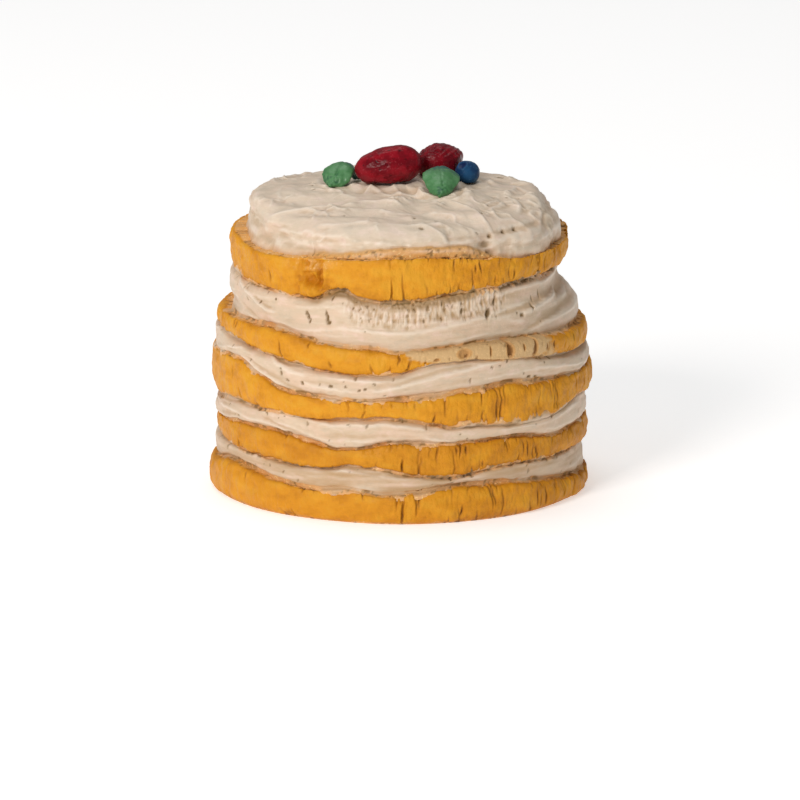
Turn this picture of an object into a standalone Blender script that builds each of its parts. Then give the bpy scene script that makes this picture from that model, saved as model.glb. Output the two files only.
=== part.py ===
"""A crepe cake: five thick crepes, four cream fillings between them, a spread cream top, and fruit with leaves.

It stands on Z = 0 with its middle on the Z axis, and is seen from -Y.
Angles are degrees round the cake from its front, growing towards the right (+X).
Heights and widths are written in millimetres and turned into metres where the meshes are made.
"""

import math

import bmesh
import bpy
from mathutils import Matrix, Vector
from mathutils.bvhtree import BVHTree

MM = 0.001

# Driving dimensions of the stack, in millimetres
SEGMENTS = 72                # facets round the cake
SEAM_GAP = 0.3               # clear space between two layers
CREVICE = 2.6                # how far a seam lies inside the bellies beside it
FLAT_CORE = 0.6              # share of the radius where a seam has run out level
CREPE_SIDE_STEPS = 5
CREAM_SIDE_STEPS = 4
CREPE_FULLNESS = 0.6         # below 1 the side is boxy with round edges
CREAM_FULLNESS = 0.85
SIDE_WAVE = 0.7              # how far the outline wanders in and out

# The waves of that wander: how many go round the cake, their share, and their shift from layer to layer and at first
SIDE_WAVES = [(3, 0.6, 1.9, 0.0), (5, 0.4, 2.7, 1.0), (9, 0.3, 4.1, 2.0)]

# The seams, from the table up, each as its high and low points: (degrees, height)
BASE_SEAM = [(0, 0.0)]
SEAMS = [
    BASE_SEAM,
    [(-90, 14.0), (-64, 19.0), (-28, 14.5), (-18, 16.0), (-4, 14.0), (20, 17.0), (90, 9.0), (135, 14.0), (-150, 16.0)],
    [(-90, 25.0), (-60, 25.0), (-28, 23.0), (-15, 26.0), (14, 20.0), (35, 23.0), (90, 21.5), (140, 25.0), (-130, 26.0)],
    [(-90, 35.0), (-46, 38.5), (-20, 33.2), (0, 36.7), (38, 36.2), (55, 33.0), (90, 34.5), (130, 38.0), (180, 34.0)],
    [(-90, 44.0), (-55, 46.6), (-28, 46.0), (-5, 48.2), (20, 43.2), (44, 42.0), (72, 46.2), (125, 43.0), (175, 47.0)],
    [(-90, 65.5), (-63, 67.2), (-36, 57.5), (-16, 56.5), (34, 61.2), (60, 58.7), (90, 58.0), (130, 61.0), (180, 57.0)],
    [(-90, 76.0), (-7, 66.6), (16, 73.6), (90, 65.5), (130, 70.0), (170, 66.0)],
    [(-90, 83.5), (-46, 84.1), (-20, 79.7), (3, 78.3), (28, 80.3), (90, 77.5), (140, 81.0), (180, 78.0)],
    [(-90, 101.4), (-48, 98.8), (-8, 98.5), (40, 103.6), (64, 104.1), (90, 106.0), (135, 101.0), (180, 104.0)],
    [(-90, 120.5), (-54, 116.5), (6, 120.0), (50, 116.0), (90, 118.5), (140, 120.0), (180, 117.0)],
]

# Each layer: name, belly radius on the left, belly radius on the right
LAYERS = [
    ("crepe_1", 86.0, 84.2),
    ("cream_1", 84.4, 82.4),
    ("crepe_2", 83.4, 83.2),
    ("cream_2", 84.2, 84.4),
    ("crepe_3", 85.0, 85.6),
    ("cream_3", 84.4, 84.8),
    ("crepe_4", 82.2, 83.8),
    ("cream_4", 79.0, 80.4),
    ("crepe_5", 76.4, 75.4),
]
SHOULDER_IN = {"cream_4": (4.4, 10.4)}   # how far its top edge leans in, on the left and on the right

# The torn place in the lower edge of the top crepe
TEAR_ANGLE = -21.0
TEAR_SPREAD = 6.5            # degrees
TEAR_RISE = 5.5
DENT_ANGLE = -33.0
DENT_SPREAD = 9.0
DENT_DEPTH = 2.2

# The spread cream on top
TOP_RADIUS = 70.5
TOP_OVERHANG = (71.0, 14.0, 1.5)   # where a lobe hangs over the edge and its spread, in degrees, and how far
TOP_MIDDLE_HEIGHT = 136.0
TOP_MOUND = 2.0              # extra cream under the fruit
TOP_MOUND_RADIUS = 24.0
TOP_RINGS = 14
TOP_ANGLES = (6.0, 89.0)     # where the rings start at the edge and end by the middle, in degrees of a quarter turn
TOP_BASE_SHARE = 0.98        # how far out its flat underside reaches, as a share of the seam's radius
TOP_EDGE_SHARPNESS = 0.25
TOP_EDGE_FULLNESS = 0.5
TOP_WAVES = [(3, 1.0, 0.7), (5, 0.8, 2.2), (8, 0.4, 0.0)]   # waves of its outline: count, height and start
CALM_RADIUS = 30.0           # inside it the knife marks fade, where the fruit lies

# The shoulder of the spread cream, as the high and low points of its edge: (degrees, height)
TOP_EDGE = [(-150, 134.0), (-90, 137.0), (-45, 132.5), (0, 130.5), (45, 132.0), (90, 136.0), (140, 134.0), (180, 132.5)]

# Knife marks in the top: middle x, y and radius of each arc, its first and last degrees, its width and its depth
KNIFE_MARKS = [
    (-10, 30, 62, 222, 262, 12.0, 1.3),
    (-6, 40, 84, 228, 272, 11.0, 1.2),
    (50, 24, 62, 196, 262, 12.0, 1.5),
    (58, 30, 88, 206, 256, 10.0, 1.2),
    (0, 0, 52, -28, 58, 13.0, 1.4),
    (4, -6, 54, 62, 128, 12.0, 1.3),
    (-8, 4, 50, 132, 212, 13.0, 1.4),
]
TROUGH_WIDTH = 0.45          # of a mark's width, as are the next two
LIP_PLACE = 0.8
LIP_WIDTH = 0.33
CALM_CORE = 0.4              # share of the calm radius that holds no marks at all

# The leaves
LEAF_STEPS = (9, 6)          # facets along and across
LEAF_BLUNT_TIP = 0.9         # half width of the very tip
LEAF_STEM_SHARE = 0.25       # width at the stem, as a share of the full width
LEAF_EDGE_THINNING = 0.55    # how much thinner the leaf is at its edge than along its middle
LEAF_WAVE_SKEW = 1.5         # how far the waves of one edge run ahead of the other's, in radians

# Colours of the paint, as linear red, green and blue
CREPE_PAINT = (0.77, 0.37, 0.03)
CREAM_PAINT = (0.66, 0.55, 0.43)
BERRY_RED_PAINT = (0.27, 0.012, 0.018)
BLUE_PAINT = (0.013, 0.045, 0.17)
LEAF_PAINT = (0.045, 0.20, 0.085)


def eased(share):
    """A smooth run from 0 to 1, level at both ends."""
    return (1 - math.cos(math.pi * share)) / 2


def seam_height(turning_points, degrees):
    """Height of a seam at an angle: it runs smoothly from each high or low point to the next, round the cake."""
    points = sorted(turning_points)
    if len(points) == 1:
        return points[0][1]
    loop = points + [(points[0][0] + 360, points[0][1])]
    while degrees < loop[0][0]:
        degrees += 360
    while degrees >= loop[-1][0]:
        degrees -= 360
    for (start, low), (end, high) in zip(loop, loop[1:]):
        if start <= degrees <= end:
            return low + (high - low) * eased((degrees - start) / (end - start))
    return loop[0][1]


def bell(degrees, centre, spread):
    """1 at the centre angle, falling smoothly to nothing on both sides."""
    away = (degrees - centre + 180) % 360 - 180
    return math.exp(-((away / spread) ** 2))


def left_to_right(left, right, degrees):
    """A value that swings from its left size to its right size round the cake."""
    return (left + right) / 2 + (right - left) / 2 * math.sin(math.radians(degrees))


def outline_wave(layer, degrees):
    """The slow wander of a layer's outline, different for each layer."""
    turn = math.radians(degrees)
    return SIDE_WAVE * sum(
        share * math.sin(count * turn + shift * layer + start) for count, share, shift, start in SIDE_WAVES
    )


def belly_radius(layer, degrees):
    """How far a layer's side reaches at an angle."""
    name, left, right = LAYERS[layer]
    radius = left_to_right(left, right, degrees) + outline_wave(layer, degrees)
    if name == "crepe_5":
        radius -= DENT_DEPTH * bell(degrees, DENT_ANGLE, DENT_SPREAD)
    return radius


def seam_radius(seam, degrees):
    """How far out a seam shows: a little inside the smaller of the bellies that it lies between."""
    beside = [layer for layer in (seam - 1, seam) if 0 <= layer < len(LAYERS)]
    reach = min(belly_radius(layer, degrees) for layer in beside) - CREVICE
    below = LAYERS[seam - 1][0] if seam else None
    if below in SHOULDER_IN:
        reach = belly_radius(seam - 1, degrees) - left_to_right(*SHOULDER_IN[below], degrees)
    return reach


def seam_at(seam, degrees):
    """Height of a seam by its number, with the tear in the top crepe's lower edge."""
    height = seam_height(SEAMS[seam], degrees)
    if seam == len(SEAMS) - 2:
        height += TEAR_RISE * bell(degrees, TEAR_ANGLE, TEAR_SPREAD)
    return height


def seam_level(seam):
    """The height at which a seam lies level inside the cake."""
    turns = range(0, 360, 360 // SEGMENTS)
    return sum(seam_at(seam, turn) for turn in turns) / SEGMENTS


def round_the_cake():
    """The angles of the facets, in degrees."""
    return [360.0 * i / SEGMENTS for i in range(SEGMENTS)]


def place(degrees, radius, height):
    """A point in metres from its angle, radius and height in millimetres."""
    turn = math.radians(degrees)
    return Vector((radius * math.sin(turn), -radius * math.cos(turn), height)) * MM


def new_object(name, bm, paint, roughness):
    """A mesh object with its own material, from a bmesh that is closed."""
    bmesh.ops.triangulate(bm, faces=bm.faces[:])
    bmesh.ops.recalc_face_normals(bm, faces=bm.faces[:])
    mesh = bpy.data.meshes.new(name)
    bm.to_mesh(mesh)
    bm.free()
    mesh.shade_smooth()
    mesh.set_sharp_from_angle(angle=math.radians(50))
    material = bpy.data.materials.new(name)
    material.use_nodes = True
    shader = material.node_tree.nodes["Principled BSDF"]
    shader.inputs["Base Color"].default_value = (*paint, 1)
    shader.inputs["Roughness"].default_value = roughness
    mesh.materials.append(material)
    made = bpy.data.objects.new(name, mesh)
    bpy.context.scene.collection.objects.link(made)
    return made


def closed_from_rings(rings, low_centre, high_centre):
    """A closed bmesh skinned over rings of points, from the lowest ring to the last, with a fan over each end."""
    bm = bmesh.new()
    grid = [[bm.verts.new(point) for point in ring] for ring in rings]
    count = len(rings[0])
    for lower, upper in zip(grid, grid[1:]):
        for i in range(count):
            j = (i + 1) % count
            bm.faces.new((lower[i], lower[j], upper[j], upper[i]))
    for ring, centre in ((grid[0], low_centre), (grid[-1], high_centre)):
        hub = bm.verts.new(centre)
        for i in range(count):
            bm.faces.new((ring[i], ring[(i + 1) % count], hub))
    return bm


def seam_ring(seam, share, shift):
    """A ring of a seam's surface at a share of its radius: wavy at the edge and level inside."""
    level = seam_level(seam)
    wave_share = eased(max(0.0, (share - FLAT_CORE) / (1 - FLAT_CORE)))
    return [
        place(
            turn,
            share * seam_radius(seam, turn),
            level + (seam_at(seam, turn) - level) * wave_share + shift,
        )
        for turn in round_the_cake()
    ]


def side_rings(layer, steps, fullness):
    """The rings of a layer's side between its two seams, out round the belly."""
    rings = []
    half_gap = SEAM_GAP / 2
    for step in range(1, steps):
        angle = math.pi * step / steps
        rise, out = eased(step / steps), math.sin(angle) ** fullness
        ring = []
        for turn in round_the_cake():
            low = seam_at(layer, turn) + (half_gap if layer else 0)
            high = seam_at(layer + 1, turn) - half_gap
            low_radius = seam_radius(layer, turn)
            high_radius = seam_radius(layer + 1, turn)
            edge = low_radius + (high_radius - low_radius) * rise
            reach = belly_radius(layer, turn)
            if LAYERS[layer][0] in SHOULDER_IN:
                reach += (high_radius - low_radius) * rise
            swell = (reach - edge) * out
            ring.append(place(turn, edge + swell, low + (high - low) * rise))
        rings.append(ring)
    return rings


def make_layer(layer):
    """One crepe or one filling, as a solid that runs through the cake."""
    name = LAYERS[layer][0]
    is_crepe = name.startswith("crepe")
    half_gap = SEAM_GAP / 2
    low_shift = half_gap if layer else 0.0
    steps = CREPE_SIDE_STEPS if is_crepe else CREAM_SIDE_STEPS
    fullness = CREPE_FULLNESS if is_crepe else CREAM_FULLNESS
    rings = [seam_ring(layer, FLAT_CORE, low_shift), seam_ring(layer, 1.0, low_shift)]
    rings += side_rings(layer, steps, fullness)
    rings += [seam_ring(layer + 1, 1.0, -half_gap), seam_ring(layer + 1, FLAT_CORE, -half_gap)]
    low_centre = Vector((0, 0, seam_level(layer) + low_shift)) * MM
    high_centre = Vector((0, 0, seam_level(layer + 1) - half_gap)) * MM
    bm = closed_from_rings(rings, low_centre, high_centre)
    paint, roughness = (CREPE_PAINT, 0.45) if is_crepe else (CREAM_PAINT, 0.5)
    return new_object(name, bm, paint, roughness)


def knife_relief(x, y):
    """The troughs that the knife left in the spread cream, with a raised lip beside each, in millimetres."""
    relief = 0.0
    for middle_x, middle_y, radius, first, last, width, depth in KNIFE_MARKS:
        dx, dy = x - middle_x, y - middle_y
        turn = math.degrees(math.atan2(dy, dx)) % 360
        first_turn = first % 360
        along = ((turn - first_turn) % 360) / (last - first)
        if along > 1:
            continue
        across = (math.hypot(dx, dy) - radius) / width
        fade = math.sqrt(math.sin(math.pi * along))
        lip = math.exp(-(((across - LIP_PLACE) / LIP_WIDTH) ** 2))
        trough = math.exp(-((across / TROUGH_WIDTH) ** 2))
        relief += depth * fade * (lip - trough)
    away = math.hypot(x, y) / CALM_RADIUS
    return relief * min(1.0, max(0.0, away - CALM_CORE) / (1 - CALM_CORE))


def crown_height(x, y):
    """Height of the spread cream's top surface, in millimetres."""
    away = math.hypot(x, y)
    edge = seam_height(TOP_EDGE, math.degrees(math.atan2(x, -y)))
    dome = TOP_MIDDLE_HEIGHT + (edge - TOP_MIDDLE_HEIGHT) * (away / TOP_RADIUS) ** 2
    mound = TOP_MOUND * math.exp(-((away / TOP_MOUND_RADIUS) ** 2))
    return dome + mound + knife_relief(x, y)


def top_radius(degrees):
    """Outline of the spread cream where it lies on the top crepe."""
    turn = math.radians(degrees)
    lobe_angle, lobe_spread, lobe = TOP_OVERHANG
    waves = sum(height * math.sin(count * turn + start) for count, height, start in TOP_WAVES)
    return TOP_RADIUS + waves + lobe * bell(degrees, lobe_angle, lobe_spread)


def make_top():
    """The cream spread over the top crepe, domed, with a rounded edge."""
    seam = len(SEAMS) - 1
    half_gap = SEAM_GAP / 2
    first_angle, last_angle = TOP_ANGLES
    rings = [seam_ring(seam, FLAT_CORE, half_gap), seam_ring(seam, TOP_BASE_SHARE, half_gap)]
    for step in range(TOP_RINGS):
        angle = math.radians(first_angle + (last_angle - first_angle) * step / (TOP_RINGS - 1))
        share = math.cos(angle) ** TOP_EDGE_SHARPNESS
        lift = math.sin(angle) ** TOP_EDGE_FULLNESS
        ring = []
        for turn in round_the_cake():
            radius = top_radius(turn) * share
            x, y, _ = place(turn, radius, 0) / MM
            base = seam_at(seam, turn) + SEAM_GAP
            ring.append(place(turn, radius, base + (crown_height(x, y) - base) * lift))
        rings.append(ring)
    low_centre = Vector((0, 0, seam_level(seam) + half_gap)) * MM
    high_centre = Vector((0, 0, crown_height(0, 0))) * MM
    return new_object("cream_top", closed_from_rings(rings, low_centre, high_centre), CREAM_PAINT, 0.5)


def surface_under(thing):
    """A function that gives the height of a mesh object straight below a point, or None beside it."""
    mesh = thing.data
    corners = [vertex.co.copy() for vertex in mesh.vertices]
    tree = BVHTree.FromPolygons(corners, [tuple(face.vertices) for face in mesh.polygons])
    sky = 1.0

    def height(x, y):
        hit = tree.ray_cast(Vector((x, y, sky)), Vector((0, 0, -1)))[0]
        return hit.z if hit else None

    return height


def press_onto(bm, ground, gap):
    """Lifts what would sink into the ground, so that the piece lies on it a small gap clear."""
    for vertex in bm.verts:
        below = ground(vertex.co.x, vertex.co.y)
        if below is not None and vertex.co.z < below + gap:
            vertex.co.z = below + gap


def make_berry(name, centre, size, heading, shape, facets, paint, ground):
    """A round or egg-shaped fruit lying on the cream.

    size is its length, width and height, heading its turn and tilt in degrees, and shape how much its far end tapers
    and its fullness, which makes its ends blunter the further it lies below 1.
    """
    around, along = facets
    turn, tilt = heading
    point, fullness = shape
    rings = []
    for step in range(1, along):
        angle = math.pi * step / along
        travel = -math.cos(angle)
        girth = math.sin(angle) ** fullness * (1 - point * travel)
        rings.append([
            Vector((
                travel * size[0] / 2,
                girth * math.cos(2 * math.pi * i / around) * size[1] / 2,
                girth * math.sin(2 * math.pi * i / around) * size[2] / 2,
            )) * MM
            for i in range(around)
        ])
    ends = [Vector((side * size[0] / 2, 0, 0)) * MM for side in (-1, 1)]
    bm = closed_from_rings(rings, *ends)
    turned = Matrix.Rotation(math.radians(turn), 4, "Z") @ Matrix.Rotation(math.radians(-tilt), 4, "Y")
    bmesh.ops.transform(bm, matrix=Matrix.Translation(Vector(centre) * MM) @ turned, verts=bm.verts[:])
    press_onto(bm, ground, SEAM_GAP * MM)
    return new_object(name, bm, paint, 0.25)


def leaf_half_width(along, width, broadest):
    """Half the leaf's width: blunt at its stem, broadest at a share of its length, and pointed at its tip."""
    if along < broadest:
        share = LEAF_STEM_SHARE + (1 - LEAF_STEM_SHARE) * eased(along / broadest)
    else:
        share = math.cos(math.pi / 2 * (along - broadest) / (1 - broadest)) ** 0.75
    return width / 2 * share


def make_leaf(name, stem, bend, tip, blade, side, thickness, waves, ground):
    """A thin wavy leaf that arches from its stem, pulled up towards the bend, down to its tip.

    blade is its width and the share of its length where it is broadest, side the direction across it, and waves the
    height and number of the waves along its edges and how far those edges droop.
    """
    along_steps, across_steps = LEAF_STEPS
    stem, bend, tip = (Vector(point) for point in (stem, bend, tip))
    across_way = Vector(side).normalized()
    wave_height, wave_count, droop = waves
    bm = bmesh.new()
    corners = {}
    for face_side in (1, -1):
        for i in range(along_steps + 1):
            along = i / along_steps
            middle = stem * (1 - along) ** 2 + bend * 2 * along * (1 - along) + tip * along**2
            heading = (bend - stem) * (1 - along) + (tip - bend) * along
            up = heading.cross(across_way).normalized()
            up = up if up.z > 0 else -up
            half = max(LEAF_BLUNT_TIP, leaf_half_width(along, *blade))
            for j in range(across_steps + 1):
                across = 2 * j / across_steps - 1
                wave = wave_height * math.sin(wave_count * math.pi * along + LEAF_WAVE_SKEW * across)
                lift = across**2 * (wave - droop)
                rim = 1 - LEAF_EDGE_THINNING * across**2
                point = middle + across_way * across * half + up * (lift + face_side * rim * thickness / 2)
                corners[face_side, i, j] = bm.verts.new(point * MM)
    for face_side in (1, -1):
        for i in range(along_steps):
            for j in range(across_steps):
                a, b = corners[face_side, i, j], corners[face_side, i + 1, j]
                c, d = corners[face_side, i + 1, j + 1], corners[face_side, i, j + 1]
                bm.faces.new((a, b, c))
                bm.faces.new((a, c, d))
    border = [(i, 0) for i in range(along_steps)] + [(along_steps, j) for j in range(across_steps)]
    border += [(i, across_steps) for i in range(along_steps, 0, -1)] + [(0, j) for j in range(across_steps, 0, -1)]
    for start, end in zip(border, border[1:] + border[:1]):
        bm.faces.new((corners[1, *start], corners[1, *end], corners[-1, *end], corners[-1, *start]))
    for i in range(along_steps + 1):
        for j in range(across_steps + 1):
            lower, upper = corners[-1, i, j], corners[1, i, j]
            below = ground(lower.co.x, lower.co.y)
            rise = 0.0 if below is None else max(0.0, below + SEAM_GAP * MM - lower.co.z)
            lower.co.z += rise
            upper.co.z += rise
    return new_object(name, bm, LEAF_PAINT, 0.45)


def clear_scene():
    """Removes whatever the scene held."""
    for thing in list(bpy.data.objects):
        bpy.data.objects.remove(thing, do_unlink=True)


def main():
    clear_scene()
    for layer in range(len(LAYERS)):
        make_layer(layer)
    top = make_top()
    ground = surface_under(top)
    make_berry("strawberry_front", (-5.7, 2, 145.4), (30.5, 19, 18.0), (4, 10), (-0.08, 0.88), (20, 12),
               BERRY_RED_PAINT, ground)
    make_berry("strawberry_back", (18, 20, 145), (23, 19, 18.5), (66, 6), (0.12, 0.95), (20, 12),
               BERRY_RED_PAINT, ground)
    make_berry("blueberry", (29.9, 9, 140.9), (11.6, 11.8, 11.4), (0, 0), (0, 1), (16, 10), BLUE_PAINT, ground)
    make_leaf("leaf_left", (-19, 17, 137.2), (-28, 3.5, 153.5), (-31.7, -5, 135.3), (14.5, 0.72), (-0.86, 0.5, 0.1),
              2.4, (0.5, 2, 1.6), ground)
    make_leaf("leaf_right", (18.5, 9, 137.5), (18.7, -4, 153.5), (17.8, -22.5, 135), (17, 0.62), (1, 0.1, -0.05),
              2.4, (0.5, 2, 1.8), ground)


main()
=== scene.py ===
"""The crepe cake's looks: crepes, cream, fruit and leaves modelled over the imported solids.

Lengths are in millimetres until a mesh is made.
Angles are in degrees from the cake's front, growing to the right.
"""

import logging
import math
from dataclasses import dataclass, field, replace
from enum import Enum
from typing import Callable, Iterable, Union

import bpy
import numpy as np
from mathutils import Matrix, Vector


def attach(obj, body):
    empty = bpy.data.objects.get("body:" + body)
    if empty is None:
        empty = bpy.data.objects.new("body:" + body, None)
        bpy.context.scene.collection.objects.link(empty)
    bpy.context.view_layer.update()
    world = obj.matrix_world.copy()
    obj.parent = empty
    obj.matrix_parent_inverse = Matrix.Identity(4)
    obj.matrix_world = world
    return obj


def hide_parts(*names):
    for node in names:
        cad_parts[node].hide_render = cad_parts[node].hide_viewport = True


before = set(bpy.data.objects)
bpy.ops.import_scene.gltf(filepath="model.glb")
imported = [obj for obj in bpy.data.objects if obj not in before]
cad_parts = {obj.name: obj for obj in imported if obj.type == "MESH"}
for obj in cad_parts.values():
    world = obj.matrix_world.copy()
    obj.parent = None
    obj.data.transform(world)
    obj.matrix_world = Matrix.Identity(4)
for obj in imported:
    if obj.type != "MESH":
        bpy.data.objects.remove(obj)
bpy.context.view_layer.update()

Array = np.ndarray
Colour = tuple[float, float, float]
Size = tuple[float, float, float]
Socket = Union[float, tuple, "Wire"]

MM = 0.001
BODY = "root"
LOOKS = "_looks"
FULL_TURN = 360.0
TINY = 1e-9
SEAM_RADIUS = 82.0
CREPE_COLUMNS = 1640
CREAM_COLUMNS = 780
WIDE_COLUMNS = 1300
AXIS_REACH = 1.0
BELLY_SHARE = 0.8
TORN_ANGLE = -32.0
NOTCH_ANGLE = -21.5
HASH_FACTORS = (73856093, 19349663, 83492791, 2654435761)
HASH_STEPS = ((13, 1274126177), (15, 2246822519))
LAST_SHIFT = 16
LOW_BITS = 0xFFFFFFFF
HALF_RANGE = 0x7FFFFFFF

log = logging.getLogger("crepe_cake")


class Slot(Enum):
    """The record's material slots."""

    CREPE = "crepe_paint"
    CREAM = "cream_paint"
    STRAWBERRY = "strawberry_paint"
    BLUEBERRY = "blueberry_paint"
    LEAF = "leaf_paint"


def eased(low: float, high: float, values: Array) -> Array:
    """A smooth run from 0 at low to 1 at high.

    Args:
        low: Where the run starts.
        high: Where it ends, which may lie below low.
        values: The values to place on the run.

    Returns:
        The share of the run at each value, from 0 to 1.
    """
    share = np.clip((values - low) / (high - low), 0.0, 1.0)
    return share * share * (3.0 - 2.0 * share)


def hump(away: Array) -> Array:
    """A round hump of height 1 that has faded out at about twice its width."""
    return np.exp(-(away * away))


def between(left: float, right: float, soft: float, values: Array) -> Array:
    """A plateau of height 1 from left to right, with each end eased over a distance on both sides."""
    return eased(left - soft, left + soft, values) * eased(right + soft, right - soft, values)


def folded(values: Array) -> Array:
    """Values folded at 0, so that they make sharp creases of height 1 there."""
    return 1.0 - 2.0 * np.abs(values)


def turned(degrees: Array) -> Array:
    """Angles brought between half a turn to the left and half a turn to the right."""
    return (degrees + FULL_TURN / 2) % FULL_TURN - FULL_TURN / 2


def ring_points(degrees: Array, radius: float, height: float) -> Array:
    """Points on a level ring."""
    turn = np.radians(degrees)
    return np.stack([radius * np.sin(turn), -radius * np.cos(turn), np.full(len(turn), height)], axis=-1)


def round_grid(degrees: Array, radius: Array, height: Array) -> Array:
    """Points from the angle of each column and the radius and height in each row."""
    turn = np.radians(degrees)[:, None]
    return np.stack([radius * np.sin(turn), -radius * np.cos(turn), height], axis=2)


@dataclass(frozen=True)
class Grain:
    """Smooth random values in space, the same on each run."""

    seed: int

    def _corner(self, x: Array, y: Array, z: Array) -> Array:
        """Mixes the corners of the lattice into random values.

        Args:
            x: Whole numbers along x.
            y: Whole numbers along y.
            z: Whole numbers along z.

        Returns:
            A value from -1 to 1 for each corner.
        """
        a, b, c, d = HASH_FACTORS
        mixed = x * a ^ y * b ^ z * c ^ self.seed * d
        for shift, factor in HASH_STEPS:
            mixed = (mixed ^ (mixed >> shift)) * factor & LOW_BITS
        return (mixed ^ (mixed >> LAST_SHIFT)) / HALF_RANGE - 1.0

    def at(self, points: Array, size: Size) -> Array:
        """Samples the grain.

        Args:
            points: Points in millimetres, with x, y and z on the last axis.
            size: How long the grain is along x, y and z, in millimetres.

        Returns:
            A value from -1 to 1 for each point.
        """
        scaled = points / np.array(size)
        cell = np.floor(scaled).astype(np.int64)
        inside = scaled - cell
        inside = inside * inside * inside * (inside * (inside * 6.0 - 15.0) + 10.0)
        x, y, z = (cell[..., i] for i in range(3))
        u, v, w = (inside[..., i] for i in range(3))
        total = np.zeros(points.shape[:-1])
        for dx in (0, 1):
            for dy in (0, 1):
                for dz in (0, 1):
                    weight = (u if dx else 1 - u) * (v if dy else 1 - v) * (w if dz else 1 - w)
                    total += weight * self._corner(x + dx, y + dy, z + dz)
        return total

    def rough(self, points: Array, size: Size, octaves: int = 3) -> Array:
        """Samples the grain with finer and weaker grains laid over it.

        Args:
            points: Points in millimetres, with x, y and z on the last axis.
            size: How long the largest grain is along x, y and z, in millimetres.
            octaves: How many grains there are, each half as long and half as strong as the one before.

        Returns:
            A value from -1 to 1 for each point.
        """
        total, reach, strength = np.zeros(points.shape[:-1]), 0.0, 1.0
        for octave in range(octaves):
            finer = Grain(self.seed + 17 * octave)
            total += strength * finer.at(points, tuple(side / 2.0**octave for side in size))
            reach += strength
            strength *= 0.5
        return total / reach


@dataclass(frozen=True)
class Roughness:
    """A random relief: its height, the size of its grains, how many octaves it has, and which draw it is."""

    height: float
    size: Size
    octaves: int
    draw: int = 0


def along_curve(rows: Array, places: Array, closed: bool) -> Array:
    """Reads a smooth curve through evenly numbered rows at any places between them.

    Args:
        rows: The values at whole numbers, on the first axis.
        places: Where to read them.
        closed: Whether the last row is followed by the first.

    Returns:
        One value or row of values for each place.
    """
    count = len(rows)
    start = np.floor(places).astype(int)
    if not closed:
        start = np.clip(start, 0, count - 2)
    share = (places - start).reshape((-1,) + (1,) * (rows.ndim - 1))

    def row(shift: int) -> Array:
        """The row a number of steps beyond the start of each place's stretch."""
        number = start + shift
        return rows[number % count] if closed else rows[np.clip(number, 0, count - 1)]

    before, first, second, after = row(-1), row(0), row(1), row(2)
    return 0.5 * (
        2.0 * first
        + (second - before) * share
        + (2.0 * before - 5.0 * first + 4.0 * second - after) * share**2
        + (3.0 * first - before - 3.0 * second + after) * share**3
    )


class SolidColumns:
    """The corners of a packed round solid, read column by column round the cake."""

    def __init__(self, node: str, columns: int = 72) -> None:
        """Sorts the solid's corners into columns.

        Args:
            node: The solid's name.
            columns: How many facets it has round the cake.
        """
        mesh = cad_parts[node].data
        flat = np.empty(len(mesh.vertices) * 3)
        mesh.vertices.foreach_get("co", flat)
        corners = np.unique(np.round(flat.reshape(-1, 3) / MM, 3), axis=0)
        reach = np.hypot(corners[:, 0], corners[:, 1])
        off_axis = reach > AXIS_REACH
        corners, reach = corners[off_axis], reach[off_axis]
        turn = np.degrees(np.arctan2(corners[:, 0], -corners[:, 1])) % FULL_TURN
        number = np.round(turn / FULL_TURN * columns).astype(int) % columns
        pairs = np.stack([reach, corners[:, 2]], axis=1)
        self.columns = [pairs[number == i] for i in range(columns)]

    def side(self, pick: Callable[[Array], Array]) -> Array:
        """The same run of corners from each column, as radius and height.

        Args:
            pick: Chooses and orders the corners of one column.

        Returns:
            An array of columns by corners by radius and height. A column with a corner missing takes the mean
            of the columns beside it.
        """
        runs = [pick(column) for column in self.columns]
        full = max(len(run) for run in runs)
        whole = [len(run) == full for run in runs]
        count = len(runs)
        for i in range(count):
            if not whole[i]:
                before = next(runs[(i - k) % count] for k in range(1, count) if whole[(i - k) % count])
                after = next(runs[(i + k) % count] for k in range(1, count) if whole[(i + k) % count])
                runs[i] = (before + after) / 2.0
        return np.stack(runs)


def layer_corners(column: Array) -> Array:
    """The corners of a layer's column from its lower seam, round its belly, to its upper seam."""
    outer = column[column[:, 0] > BELLY_SHARE * column[:, 0].max()]
    return outer[np.argsort(outer[:, 1])]


def top_corners(column: Array) -> Array:
    """The corners of the spread cream's column from its foot, over the shoulder, inwards.

    Args:
        column: Radius and height of the column's corners, in any order.

    Returns:
        The same without the inner corner of the foot, in order.
    """
    by_height = column[np.argsort(column[:, 1])]
    foot = by_height[:2][np.argmax(by_height[:2, 0])]
    rest = by_height[2:]
    return np.concatenate([foot[None], rest[np.argsort(-rest[:, 0])]])


class Surface:
    """A smooth surface with relief on it, and with marks that its paint reads."""

    def __init__(self, base: Array, normals: Array) -> None:
        """Takes the smooth surface.

        Args:
            base: Points in millimetres, with x, y and z on the last axis.
            normals: The way out of the surface at each point.
        """
        self.base = base
        self.normals = normals
        self.relief = np.zeros(base.shape[:-1])
        self.marks: dict[str, Array] = {}

    def mark(self, name: str, amount: Array) -> None:
        """Adds to a mark, which stays between 0 and 1."""
        self.marks[name] = np.clip(self.marks.get(name, np.zeros(self.relief.shape)) + amount, 0.0, 1.0)

    def rough(self, seed: int, size: Size, octaves: int = 3) -> Array:
        """A rough grain at each point of the smooth surface."""
        return Grain(seed).rough(self.base, size, octaves)

    def roughen(self, seed: int, layers: tuple[Roughness, ...]) -> None:
        """Lays random reliefs over the surface, one after the other."""
        for layer in layers:
            self.relief += layer.height * self.rough(seed + layer.draw, layer.size, layer.octaves)

    def points(self) -> Array:
        """The surface with its relief."""
        return self.base + self.normals * self.relief[..., None]


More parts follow.
